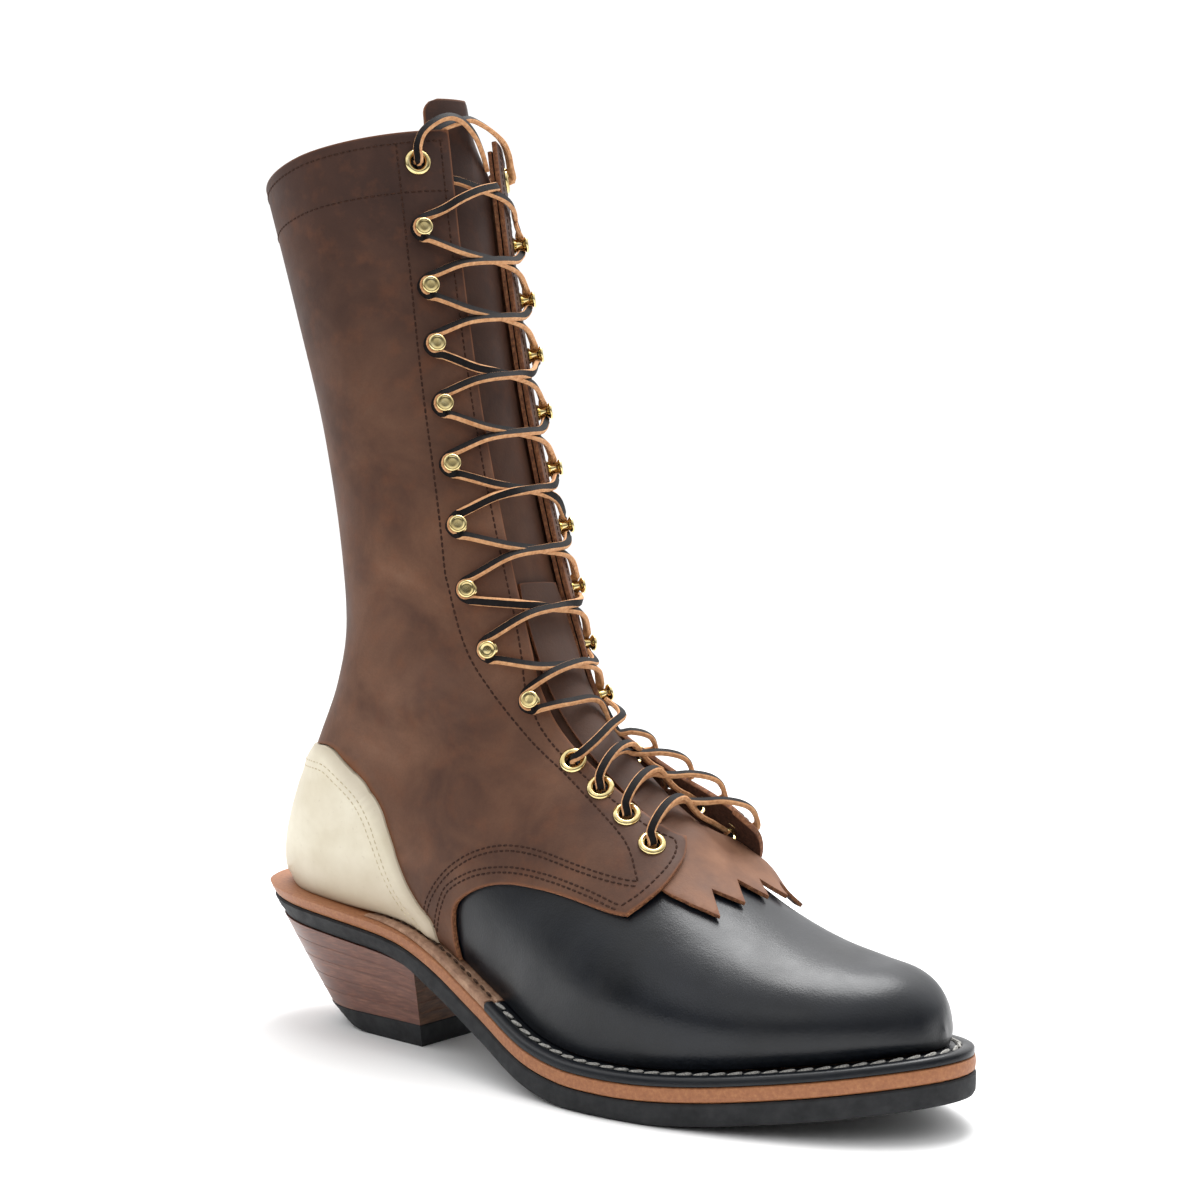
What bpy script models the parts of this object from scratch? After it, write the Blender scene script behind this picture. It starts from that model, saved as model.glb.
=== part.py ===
"""A right-foot packer boot, built as a boot maker puts it together.

Metres, +Z up. +X points to the toe, +Y to the medial (inner) side, and the floor is z = 0.
The origin lies on the heel's flat rest face. Tables below are in millimetres.
"""

import math

import bmesh
import bpy
import numpy as np
from mathutils import Vector

MM = 0.001
CLEAR = 0.3

# Leather and rubber thicknesses, mm
OUTSOLE_THICK = 8.0
MIDSOLE_THICK = 5.2
WELT_THICK = 3.4
INSOLE_THICK = 4.0
WALL = 1.6
QUARTER_THICK = 2.0
COUNTER_THICK = 3.6
TONGUE_THICK = 1.5
KILTIE_THICK = 1.4
LACE_WIDTH = 4.0
LACE_THICK = 1.8

# Sole plan, heel back to toe tip: x, lateral edge y, medial edge y
SOLE_PLAN = [
    (-66.0, 0.0, 0.0),
    (-63.5, -15.0, 14.5),
    (-55.0, -27.0, 26.0),
    (-38.0, -35.0, 33.5),
    (-14.0, -37.5, 35.0),
    (14.0, -38.0, 34.0),
    (44.0, -41.0, 31.5),
    (74.0, -47.5, 32.5),
    (102.0, -56.0, 38.5),
    (130.0, -60.0, 45.0),
    (156.0, -58.5, 47.0),
    (180.0, -53.0, 45.0),
    (203.0, -45.0, 40.0),
    (222.0, -36.0, 31.5),
    (237.0, -25.0, 21.0),
    (246.5, -13.5, 10.5),
    (250.0, -1.0, -1.0),
]

# Side profile of the midsole's top: x, z
SEAT_PROFILE = [
    (-70.0, 58.5),
    (-40.0, 55.5),
    (0.0, 51.0),
    (25.0, 47.0),
    (45.0, 40.0),
    (70.0, 29.0),
    (100.0, 17.6),
    (120.0, 13.7),
    (138.0, 13.0),
    (152.0, 13.2),
    (166.0, 14.1),
    (180.0, 15.5),
    (195.0, 17.5),
    (212.0, 20.0),
    (228.0, 22.6),
    (243.0, 24.9),
    (256.0, 26.6),
]

# How far the upper stands in from the sole's edge: x, inset
FEATHER_INSET = [(-66.0, 13.5), (-40.0, 10.5), (0.0, 9.5), (60.0, 9.0), (252.0, 9.0)]

# How far the insole stands in from the upper: x, inset
INSOLE_INSET = [(-70.0, 5.5), (-30.0, 3.0), (0.0, 1.2), (256.0, 1.2)]

# How thick the welt is under the upper's edge: x, thickness
WELT_RISE = [(-70.0, 0.0), (-12.0, 0.0), (30.0, 2.4), (70.0, WELT_THICK), (256.0, WELT_THICK)]

# Sections of the last, toe to collar. Each is a plane through its lower and its upper end:
# lower x, lift of the lower end above the welt, upper x, upper z,
# lateral y, medial y, ridge y, where it is widest (0 low, 1 high), power below, power above
LAST_ROWS = [
    (241.0, 0.0, 241.0, 33.5, -1.0, -1.0, -1.0, 0.30, 2.0, 2.0),
    (239.0, 0.0, 238.4, 42.0, -11.5, 8.5, -0.8, 0.30, 2.0, 2.1),
    (233.5, 0.0, 232.5, 48.4, -20.5, 16.5, -0.5, 0.30, 2.0, 2.2),
    (224.5, 0.0, 223.5, 52.4, -28.5, 23.5, 0.0, 0.30, 2.0, 2.2),
    (210.0, 0.0, 209.0, 54.4, -36.5, 30.5, 0.4, 0.30, 2.0, 2.2),
    (190.0, 0.0, 190.0, 58.5, -44.0, 36.0, 0.8, 0.28, 2.0, 2.1),
    (168.0, 0.0, 170.0, 66.5, -50.5, 39.5, 1.0, 0.28, 2.0, 2.0),
    (146.0, 0.0, 153.0, 77.0, -53.5, 40.5, 1.0, 0.28, 2.0, 1.9),
    (122.0, 0.0, 140.0, 88.0, -52.5, 39.0, 0.5, 0.28, 2.0, 1.8),
    (96.0, 0.0, 129.0, 98.0, -48.0, 36.0, 0.0, 0.30, 2.0, 1.8),
    (68.0, 0.0, 118.0, 108.0, -42.0, 32.5, 0.0, 0.32, 2.0, 1.8),
    (38.0, 0.0, 107.5, 117.5, -38.0, 32.0, 0.0, 0.34, 2.0, 1.85),
    (6.0, 0.0, 98.5, 126.0, -35.5, 32.0, 0.0, 0.36, 2.0, 1.95),
    (-24.0, 0.0, 91.0, 134.0, -34.0, 32.2, 0.0, 0.38, 2.2, 2.1),
    (-42.0, 0.0, 85.0, 141.0, -33.5, 32.6, 0.0, 0.40, 2.6, 2.3),
    (-52.5, 0.0, 79.8, 148.0, -33.4, 33.0, 0.0, 0.42, 2.9, 2.5),
    (-54.3, 12.0, 75.4, 155.5, -34.6, 34.6, 0.0, 0.43, 2.7, 2.75),
    (-49.5, 31.0, 71.0, 164.5, -36.2, 36.2, 0.0, 0.44, 2.3, 2.9),
    (-39.8, 53.0, 67.0, 175.0, -37.5, 37.5, 0.0, 0.45, 2.0, 2.85),
    (-27.0, 77.0, 63.2, 187.5, -38.4, 38.4, 0.0, 0.46, 2.0, 2.6),
    (-19.6, 104.0, 59.4, 202.0, -39.2, 39.2, 0.0, 0.47, 2.0, 2.3),
    (-21.4, 138.0, 54.6, 223.0, -40.6, 40.6, 0.0, 0.48, 2.0, 2.0),
    (-28.6, 179.0, 48.0, 253.0, -43.0, 43.0, 0.0, 0.49, 2.0, 1.8),
    (-44.6, 231.0, 39.9, 299.0, -45.4, 45.4, 0.0, 0.50, 2.0, 1.7),
    (-60.3, 274.6, 32.0, 352.5, -47.4, 47.4, 0.0, 0.50, 2.0, 1.7),
]
HEEL_ROW = 15.0
THROAT_ROW = 7.6
COLLAR_ROW = float(len(LAST_ROWS) - 1)
HEEL_CENTRE = -20.0
LOW_SHARE = 0.34
WELT_TURN = 0.08
TINY = 0.001

# Half width of the lacing gap: row, gap
THROAT_GAP = [
    (THROAT_ROW, 0.0),
    (8.3, 12.0),
    (10.0, 15.0),
    (14.0, 15.0),
    (18.0, 14.5),
    (21.0, 14.0),
    (COLLAR_ROW, 13.0),
]


# Side view of the vamp that the quarters leave bare, welt to ear and facing: x, z
VAMP_LINE = [
    (54.0, 30.0),
    (54.3, 50.2),
    (56.0, 59.3),
    (61.2, 64.5),
    (70.7, 69.0),
    (83.1, 71.4),
    (95.9, 71.4),
    (108.8, 70.8),
    (120.6, 69.0),
    (134.1, 66.9),
    (138.7, 66.6),
    (142.9, 70.8),
    (145.9, 75.4),
    (145.2, 81.7),
    (140.1, 89.4),
    (150.0, 110.0),
    (290.0, 110.0),
    (290.0, -20.0),
    (54.0, -20.0),
]

# Side view of the heel counter, welt to back: x, z
COUNTER_LINE = [
    (46.0, 30.0),
    (43.8, 50.1),
    (34.9, 59.8),
    (27.8, 67.5),
    (22.3, 78.8),
    (16.9, 88.3),
    (12.2, 96.8),
    (4.4, 104.1),
    (-5.3, 111.4),
    (-14.6, 115.8),
    (-28.0, 115.8),
    (-40.0, 115.2),
    (-90.0, 114.0),
    (-90.0, 30.0),
]
CUTTER_REACH = 90.0

# Tongue: row, half width. Rows past the collar stand above it
TONGUE_WIDTH = [
    (7.5, 8.0),
    (8.3, 15.0),
    (10.0, 19.0),
    (18.0, 20.0),
    (24.0, 20.0),
    (24.3, 19.0),
    (24.4, 16.0),
]
TONGUE_RISE = 45.0
TONGUE_SINK = 2.7

# Kiltie, the fringed flap over the instep: row, half width, how far it stands off the last
KILTIE_BODY = [
    (5.8, 27.0, 1.5),
    (7.0, 29.0, 1.6),
    (7.22, 24.0, 1.7),
    (7.36, 12.0, 1.4),
    (7.55, 5.5, 1.2),
    (7.75, 3.6, 1.1),
    (8.1, 3.0, 0.9),
    (8.5, 4.5, -0.8),
    (9.2, 10.5, -2.0),
    (10.5, 13.2, -2.1),
    (14.0, 13.2, -2.1),
    (18.6, 12.4, -2.1),
]
FRINGE_TEETH = 5
FRINGE_TIP, FRINGE_NOTCH = 6.2, 6.75

# Eyelets: row, distance from the middle. The last is at the collar
EYELETS = [(8.41, 21.0), (9.39, 19.0), (10.37, 18.0), (11.42, 17.9), (23.84, 24.6)]
# Speed hooks: row, turn
HOOKS = [
    (14.06, 0.784),
    (16.79, 0.722),
    (18.76, 0.687),
    (20.28, 0.681),
    (21.22, 0.694),
    (21.93, 0.704),
    (22.46, 0.711),
    (22.91, 0.720),
    (23.35, 0.726),
]
EYELET_RADIUS, EYELET_BORE = 5.1, 2.7
# Hook turned about its post: radius, height
HOOK_PROFILE = [(3.2, 0.0), (3.2, 0.7), (1.6, 1.0), (1.6, 3.2), (4.0, 3.5), (3.4, 4.8)]

# Heel: half width and x of the back at the floor and under the outsole
HEEL_FLOOR = {"back": -36.0, "breast": 27.0, "lateral": -27.5, "medial": 27.0}
HEEL_TOP = {"back": -59.5, "breast": 30.5, "lateral": -33.5, "medial": 32.0}
HEEL_CAP_THICK = 9.0
HEEL_LIFTS = 5
WELT_FROM, WAIST_FROM = 78.0, 6.0

# Lace ends: x, y, z of the run beyond the mouth of each collar eyelet
LACE_END_LATERAL = [
    (33.0, -27.5, 349.5),
    (36.5, -22.0, 356.5),
    (38.0, -15.5, 362.0),
    (38.5, -8.5, 364.0),
    (38.0, -2.0, 362.0),
    (36.5, 4.0, 357.5),
    (34.0, 8.0, 352.0),
]
LACE_END_MEDIAL = [
    (31.5, 26.5, 350.5),
    (32.5, 22.5, 357.5),
    (33.0, 16.5, 363.5),
    (32.5, 10.0, 367.5),
    (32.0, 3.5, 369.0),
    (31.5, -4.0, 367.0),
    (30.5, -10.0, 362.0),
    (29.5, -13.5, 356.5),
]
LACE_MOUTH = 2.4
LACE_CORD = 2.4


def follow(rows, key):
    """Reads a table smoothly at key, its first column, by a cubic through the rows."""
    keys = [row[0] for row in rows]
    last = len(rows) - 1
    key = min(max(key, keys[0]), keys[-1])
    at = min(max(int(np.searchsorted(keys, key, side="right")) - 1, 0), last - 1)
    span = keys[at + 1] - keys[at]
    part = (key - keys[at]) / span
    values = [np.array(row[1:], dtype=float) for row in rows]

    def slope(row):
        before, after = max(row - 1, 0), min(row + 1, last)
        return (values[after] - values[before]) / (keys[after] - keys[before])

    start, end = slope(at) * span, slope(at + 1) * span
    square, cube = part * part, part**3
    result = (
        (2 * cube - 3 * square + 1) * values[at]
        + (cube - 2 * square + part) * start
        + (3 * square - 2 * cube) * values[at + 1]
        + (cube - square) * end
    )
    return result if len(result) > 1 else float(result[0])


def numbered(rows):
    """Puts each row's number in front of it, as the key."""
    return [(float(number), *row) for number, row in enumerate(rows)]


def plan_loop():
    """The sole's outline as one closed run, lateral edge to the toe and medial edge back: key, x, y."""
    lateral = [(x, edge) for x, edge, _ in SOLE_PLAN]
    medial = [(x, edge) for x, _, edge in SOLE_PLAN[1:-1]]
    loop = lateral + medial[::-1]
    return [(float(at), *loop[at % len(loop)]) for at in range(-2, len(loop) + 3)]


LOOP = plan_loop()
LAST = numbered(LAST_ROWS)
PLAN_END = float(len(SOLE_PLAN) - 1)


def seat_z(x):
    """Height of the midsole's top."""
    return follow(SEAT_PROFILE, x)


def feather_z(x):
    """Height of the welt's top, where the upper stands."""
    return seat_z(x) + follow(WELT_RISE, x)


def sole_edge(station, side, inset=0.0):
    """Point of the sole's plan, moved in from its edge. side is -1 lateral, 1 medial."""
    key = station if side < 0 else 2.0 * PLAN_END - station
    along = follow(LOOP, key + 0.05) - follow(LOOP, key - 0.05)
    along /= np.linalg.norm(along)
    return follow(LOOP, key) + inset * np.array([-along[1], along[0]])


def feather_line(side):
    """Sampled plan of the line where the upper meets the welt: x, y from heel to toe."""
    points = []
    for station in np.linspace(0.0, PLAN_END, 240):
        inset = follow(FEATHER_INSET, sole_edge(station, side)[0])
        points.append(sole_edge(station, side, inset))
    return np.array(points)


FEATHER = {side: feather_line(side) for side in (-1, 1)}


def feather_y(x, side):
    line = FEATHER[side]
    return float(np.interp(x, line[:, 0], line[:, 1]))


def section(row):
    """Ends and widths of the last's section at a row, which need not be a whole number."""
    low_x, lift, top_x, top_z, lateral, medial, ridge, wide, low, top = follow(LAST, row)
    return {
        "low": np.array([low_x, feather_z(low_x) + max(lift, 0.0)]),
        "top": np.array([top_x, top_z]),
        "half": {-1: ridge - lateral, 1: medial - ridge},
        "ridge": ridge,
        "wide": wide,
        "powers": (low, top),
    }


def skin_point(row, turn, side):
    """Point of the last's surface. turn runs from 0, low or at the back, to 1 at the front."""
    cut = section(row)
    half = cut["half"][side]
    wide = cut["wide"]
    low, top = cut["powers"]
    foot = 0.0
    if row < HEEL_ROW:
        foot = max(side * (feather_y(cut["low"][0], side) - cut["ridge"]), 0.0)
    half = max(half, 1.002 * foot, TINY)
    if turn < LOW_SHARE:
        reach = wide / (1.0 - (foot / half) ** low) ** (1.0 / low)
        widest_turn = math.asin(min((wide / reach) ** (low / 2.0), 1.0))
        angle = widest_turn * (1.0 - turn / LOW_SHARE)
        along = wide - reach * math.sin(angle) ** (2.0 / low)
        out = half * math.cos(angle) ** (2.0 / low)
    else:
        angle = 0.5 * math.pi * (turn - LOW_SHARE) / (1.0 - LOW_SHARE)
        along = wide + (1.0 - wide) * math.sin(angle) ** (2.0 / top)
        out = half * max(math.cos(angle), 0.0) ** (2.0 / top)
    x, z = cut["low"] + along * (cut["top"] - cut["low"])
    return np.array([x, cut["ridge"] + side * out, z])


def facing(row, turn, side):
    """Direction the last's surface faces at a point."""
    row_step, turn_step = 0.05, 0.01
    row_low, row_high = max(row - row_step, 0.0), min(row + row_step, COLLAR_ROW)
    turn_low, turn_high = max(turn - turn_step, 0.0), min(turn + turn_step, 1.0)
    along_row = skin_point(row_high, turn, side) - skin_point(row_low, turn, side)
    along_turn = skin_point(row, turn_high, side) - skin_point(row, turn_low, side)
    normal = np.cross(along_row, along_turn) * side
    return normal / np.linalg.norm(normal)


def skin(row, turn, side, out=0.0):
    """Point of the last's surface moved out along its normal, in mm, or straight out at the welt."""
    here = skin_point(row, turn, side)
    if out == 0.0:
        return here
    normal = facing(row, turn, side)
    ridge = section(row)["ridge"]
    if abs(here[1] - ridge) < 2.0 * TINY:
        here[1] = ridge
        normal = (normal + facing(row, turn, -side)) * [1.0, 0.0, 1.0]
    normal[2] *= min(max(turn / WELT_TURN, row - HEEL_ROW, 0.0), 1.0)
    heel = min(max(2.0 - 2.0 * max(turn / 0.25, abs(row - HEEL_ROW) / 2.0), 0.0), 1.0)
    if heel > 0.0:
        round_out = (here - [HEEL_CENTRE, 0.0, 0.0]) * [1.0, 1.0, 0.0]
        normal = (1.0 - heel) * normal + heel * round_out / np.linalg.norm(round_out)
    return here + out * normal / np.linalg.norm(normal)


def turn_at(row, side, away):
    """Turn of the point that lies a distance from the middle, on the upper part of a section."""
    cut = section(row)
    share = min(max(away, 0.0) / cut["half"][side], 1.0)
    angle = math.acos(share ** (cut["powers"][1] / 2.0))
    return LOW_SHARE + (1.0 - LOW_SHARE) * angle / (0.5 * math.pi)


def face_turn(row, side):
    """Turn at which the facing's edge stands, half the lacing gap from the middle."""
    return turn_at(row, side, follow(THROAT_GAP, row)) if row > THROAT_ROW else 1.0


def over_welt(point):
    """Keeps a point of the upper or of an overlay clear of the welt it stands on."""
    x, y, z = point
    return np.array([x, y, max(z + CLEAR, feather_z(x) + 1.8 * CLEAR)])


for leftover in list(bpy.data.objects):
    bpy.data.objects.remove(leftover)
boot = bpy.data.collections.new("packer_boot")
bpy.context.scene.collection.children.link(boot)
cutters = bpy.data.collections.new("cutters")
bpy.context.scene.collection.children.link(cutters)


def finish(name, colour, roughness, metallic=0.0):
    """Principled material with one colour."""
    material = bpy.data.materials.new(name)
    material.use_nodes = True
    shader = material.node_tree.nodes["Principled BSDF"]
    shader.inputs["Base Color"].default_value = (*colour, 1.0)
    shader.inputs["Roughness"].default_value = roughness
    shader.inputs["Metallic"].default_value = metallic
    return material


BLACK_RUBBER = finish("black_rubber", (0.030, 0.032, 0.034), 0.75)
TAN_LEATHER = finish("tan_leather", (0.42, 0.19, 0.09), 0.6)
BLACK_LEATHER = finish("black_leather", (0.014, 0.015, 0.018), 0.4)
BROWN_LEATHER = finish("brown_leather", (0.10, 0.048, 0.030), 0.55)
CREAM_LEATHER = finish("cream_leather", (0.75, 0.70, 0.58), 0.5)
NATURAL_LEATHER = finish("natural_leather", (0.35, 0.20, 0.12), 0.65)
STACK_LEATHER = finish("stack_leather", (0.19, 0.085, 0.055), 0.5)
LACE_LEATHER = finish("lace_leather", (0.06, 0.04, 0.03), 0.5)
BRASS = finish("brass", (0.55, 0.40, 0.18), 0.35, 1.0)


def place(name, mesh, material):
    """Makes a mesh in metres a named sub-part."""
    part = bpy.data.objects.new(name, mesh)
    part.data.materials.append(material)
    boot.objects.link(part)
    return part


def slab(name, patches, material):
    """Closed leather piece. Each patch is two like grids of points, the flesh side and the grain side."""
    mesh = bpy.data.meshes.new(name)
    body = bmesh.new()
    corners, rims = {}, {}
    for under, over in patches:
        keys = [[tuple(np.round(point, 2)) for point in row] for row in under]
        for row, (low, high) in enumerate(zip(keys, keys[1:])):
            for column in range(len(low) - 1):
                ring = [(low[column], row, column), (low[column + 1], row, column + 1)]
                ring += [(high[column + 1], row + 1, column + 1), (high[column], row + 1, column)]
                for key, line, at in ring:
                    if key not in corners:
                        pair = (under[line][at], over[line][at])
                        corners[key] = [body.verts.new(point * MM) for point in pair]
                loop = [ring[number][0] for number in range(4) if ring[number][0] != ring[number - 1][0]]
                if len(set(loop)) < max(len(loop), 3):
                    continue
                spans = [np.linalg.norm(np.subtract(loop[at], loop[at - 2])) for at in (0, 1)]
                if spans[0] > 0.8 * spans[1]:
                    loop = loop[1:] + loop[:1]
                for second, third in zip(loop[1:], loop[2:]):
                    body.faces.new([corners[key][1] for key in (loop[0], second, third)])
                    body.faces.new([corners[key][0] for key in (third, second, loop[0])])
                for number, key in enumerate(loop):
                    edge = frozenset((key, loop[number - 1]))
                    rims[edge] = rims.get(edge, 0) + 1
    for first, second in (tuple(edge) for edge, uses in rims.items() if uses == 1):
        body.faces.new([corners[first][1], corners[first][0], corners[second][0], corners[second][1]])
    bmesh.ops.delete(body, geom=[vert for vert in body.verts if not vert.link_faces], context="VERTS")
    bmesh.ops.recalc_face_normals(body, faces=body.faces)
    body.to_mesh(mesh)
    body.free()
    return place(name, mesh, material)


def bar_mesh(name, sections):
    """Closed bar through rings of points in mm, one ring per section, ends capped or drawn to an edge."""
    mesh = bpy.data.meshes.new(name)
    bar = bmesh.new()
    rings = [[bar.verts.new(point * MM) for point in ring] for ring in sections]
    count = len(rings[0])
    for first, second in zip(rings, rings[1:]):
        for at in range(count):
            after = (at + 1) % count
            bar.faces.new((first[at], first[after], second[after], second[at]))
    bar.faces.new(rings[0][::-1])
    bar.faces.new(rings[-1])
    bmesh.ops.remove_doubles(bar, verts=bar.verts, dist=0.00002)
    bmesh.ops.dissolve_degenerate(bar, edges=bar.edges, dist=0.00001)
    bmesh.ops.recalc_face_normals(bar, faces=bar.faces)
    bar.to_mesh(mesh)
    bar.free()
    return mesh


def outsole_top(x):
    return seat_z(x) - MIDSOLE_THICK - CLEAR


def outsole_bottom(x):
    return max(outsole_top(x) - OUTSOLE_THICK, 0.0)


SOLE_STATIONS = 37


def stations(count=SOLE_STATIONS):
    """Stations along the sole's plan, closer together where its ends turn."""
    even = np.linspace(0.0, 1.0, count)
    bunched = 0.5 * (1.0 - np.cos(math.pi * even))
    return PLAN_END * (0.6 * even + 0.4 * bunched)


def station_at(x, side):
    """Station of the sole's plan at an x."""
    steps = np.linspace(0.0, PLAN_END, 400)
    return float(np.interp(x, [sole_edge(step, side)[0] for step in steps], steps))


def sole_layer(name, bottom, top, inset, material):
    """One full-length layer of the sole between two height functions of x."""
    rings = []
    for station in stations():
        lateral = sole_edge(station, -1, inset(sole_edge(station, -1)[0]))
        medial = sole_edge(station, 1, inset(sole_edge(station, 1)[0]))
        rings.append(
            [
                np.array([*lateral, bottom(lateral[0])]),
                np.array([*medial, bottom(medial[0])]),
                np.array([*medial, top(medial[0])]),
                np.array([*lateral, top(lateral[0])]),
            ]
        )
    return place(name, bar_mesh(name, rings), material)


def welt_ring(station, side, outer, inner):
    """Cross-section of the welt at a station."""
    edge, tuck = sole_edge(station, side, outer), sole_edge(station, side, inner)
    return [
        np.array([*edge, seat_z(edge[0]) + CLEAR]),
        np.array([*tuck, seat_z(tuck[0]) + CLEAR]),
        np.array([*tuck, feather_z(tuck[0])]),
        np.array([*edge, feather_z(edge[0])]),
    ]


# Sole layers, from the ground up
sole_layer("outsole", outsole_bottom, outsole_top, lambda x: 0.0, BLACK_RUBBER)
sole_layer("midsole", lambda x: seat_z(x) - MIDSOLE_THICK, seat_z, lambda x: 0.0, TAN_LEATHER)
sole_layer(
    "insole",
    lambda x: seat_z(x) + CLEAR,
    lambda x: seat_z(x) + CLEAR + INSOLE_THICK,
    lambda x: follow(FEATHER_INSET, x) + WALL + follow(INSOLE_INSET, x),
    NATURAL_LEATHER,
)

# Black welt round the forefoot, and the natural welt that runs back along each side of the waist
ends = {side: station_at(WELT_FROM, side) for side in (-1, 1)}
lateral_run = [welt_ring(step, -1, 0.5, 11.2) for step in np.linspace(ends[-1], PLAN_END, 18)]
medial_run = [welt_ring(step, 1, 0.5, 11.2) for step in np.linspace(PLAN_END, ends[1], 18)[1:]]
place("welt", bar_mesh("welt", lateral_run + medial_run), BLACK_LEATHER)
for side, label in ((-1, "lateral"), (1, "medial")):
    run = np.linspace(station_at(WAIST_FROM, side), station_at(WELT_FROM - 0.6, side), 20)
    rings = [welt_ring(step, side, 0.8, 11.0) for step in run]
    place("waist_welt_" + label, bar_mesh("waist_welt_" + label, rings), NATURAL_LEATHER)


def heel_ring(level, height):
    """Outline of the heel at a level, 0 at the floor and 1 under the outsole, at a height function of x."""
    size = {key: HEEL_FLOOR[key] + level * (HEEL_TOP[key] - HEEL_FLOOR[key]) for key in HEEL_FLOOR}
    middle = size["back"] + 1.15 * size["medial"]
    ring = [(size["breast"], size["lateral"]), (0.5 * (size["breast"] + middle), size["lateral"])]
    for angle in np.linspace(-0.5 * math.pi, 0.5 * math.pi, 13):
        width = size["medial"] if angle > 0.0 else -size["lateral"]
        ring.append((middle - (middle - size["back"]) * math.cos(angle), width * math.sin(angle)))
    ring += [(0.5 * (size["breast"] + middle), size["medial"]), (size["breast"], size["medial"])]
    return [np.array([x, y, height(x)]) for x, y in ring]


def lift_height(number, gap):
    """Height of the joint above a lift, which slopes more the nearer it is to the outsole."""
    share = number / HEEL_LIFTS
    return lambda x: HEEL_CAP_THICK + share * (outsole_bottom(x) - HEEL_CAP_THICK) + gap


# Heel, a rubber cap on the floor and stacked leather lifts above it
cap_level = 0.22
cap = [heel_ring(0.0, lambda x: 0.0), heel_ring(cap_level, lambda x: HEEL_CAP_THICK - CLEAR)]
place("heel_cap", bar_mesh("heel_cap", cap), BLACK_RUBBER)
for lift in range(HEEL_LIFTS):
    low = cap_level + (1.0 - cap_level) * lift / HEEL_LIFTS
    high = cap_level + (1.0 - cap_level) * (lift + 1) / HEEL_LIFTS
    rings = [heel_ring(low, lift_height(lift, 0.0)), heel_ring(high, lift_height(lift + 1, -1.4 * CLEAR))]
    name = "heel_lift_%d" % (lift + 1)
    place(name, bar_mesh(name, rings), STACK_LEATHER)

# Rows of the last that the upper's mesh uses, close together at the toe and where the waist bends
UPPER_SPANS = [
    (0.0, 4.0, 5),
    (4.0, 9.4, 6),
    (9.4, 14.5, 10),
    (14.5, 15.5, 4),
    (15.5, 19.0, 5),
    (19.0, COLLAR_ROW, 5),
]
UPPER_TURNS = 10


def upper_rows():
    spans = [np.linspace(first, last, count + 1)[:-1] for first, last, count in UPPER_SPANS]
    return np.concatenate([*spans, [COLLAR_ROW]])


def layer(rows, side, columns, out, thickness):
    """Flesh and grain side of a leather layer, on the upper's rows and columns."""

    def grid(height):
        points = []
        for row in rows:
            turns = np.linspace(0.0, 1.0, UPPER_TURNS)[:columns] * face_turn(row, side)
            points.append([over_welt(skin(row, turn, side, height)) for turn in turns])
        return points

    return grid(out), grid(out + thickness)


def upper():
    """The lasted leather from toe to collar, open at throat and collar and underneath."""
    halves = [layer(upper_rows(), side, UPPER_TURNS, -WALL, WALL) for side in (-1, 1)]
    return slab("upper", halves, BLACK_LEATHER)


def side_cutter(name, line):
    """Prism across the boot on a side view, to trim an overlay with."""
    rings = [[np.array([x, y, z]) for x, z in line] for y in (-CUTTER_REACH, CUTTER_REACH)]
    cutter = bpy.data.objects.new(name, bar_mesh(name, rings))
    cutter.hide_render = True
    cutter.display_type = "WIRE"
    cutters.objects.link(cutter)
    return cutter


def trim(part, cutter, operation):
    """Cuts an overlay to its line."""
    cut = part.modifiers.new("trim", "BOOLEAN")
    cut.operation = operation
    cut.solver = "EXACT"
    cut.object = cutter
    return part


def quarter(name, side):
    """Brown leather over the upper's back and shaft, from the curved vamp seam to the collar."""
    rows = [row for row in upper_rows() if row > 6.7]
    under, over = layer(rows, side, UPPER_TURNS, 1.3 * CLEAR, QUARTER_THICK)
    for grid in (under, over):
        for row, points in zip(rows, grid):
            if row >= HEEL_ROW:
                points[0] = points[0] + np.array([0.0, side * 0.5 * CLEAR, 0.0])
    part = trim(slab(name, [(under, over)], BROWN_LEATHER), VAMP_CUTTER, "DIFFERENCE")
    return trim(part, HEEL_CUTTER, "DIFFERENCE")


def counter():
    """Cream leather round the heel with the stiffener behind it, standing proud of both quarters."""
    rows = [row for row in upper_rows() if 9.9 < row < 19.4]
    halves = [layer(rows, side, 6, 2.0 * CLEAR, COUNTER_THICK) for side in (-1, 1)]
    return trim(slab("counter", halves, CREAM_LEATHER), COUNTER_CUTTER, "INTERSECT")


VAMP_CUTTER = side_cutter("vamp_line", VAMP_LINE)
COUNTER_CUTTER = side_cutter("counter_line", COUNTER_LINE)
HEEL_CUTTER = side_cutter("heel_line", [(x + 1.2 * CLEAR, z + 1.2 * CLEAR) for x, z in COUNTER_LINE])
upper()
quarter("quarter_lateral", -1)
quarter("quarter_medial", 1)
counter()


def tongue_point(row, share, out):
    """Point of the tongue. share runs from -1 at its lateral edge to 1 at its medial edge."""
    side = -1 if share < 0.0 else 1
    at = min(row, COLLAR_ROW)
    point = skin(at, turn_at(at, side, abs(share) * follow(TONGUE_WIDTH, row)), side, out)
    lean = section(COLLAR_ROW)["top"] - section(COLLAR_ROW - 0.5)["top"]
    lean /= np.linalg.norm(lean)
    above = TONGUE_RISE * (row - at)
    return point + np.array([above * lean[0], 0.0, above * lean[1]])


def tongue():
    """Leather tongue behind the lacing, standing above the collar."""
    rows = [*[row for row in upper_rows() if row > 7.7][::2], 24.24, 24.34, 24.4]
    shares = np.linspace(-1.0, 1.0, 9)
    grids = []
    for out in (-TONGUE_SINK - TONGUE_THICK, -TONGUE_SINK):
        grids.append([[tongue_point(row, share, out) for share in shares] for row in rows])
    return slab("tongue", [tuple(grids)], BROWN_LEATHER)


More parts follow.
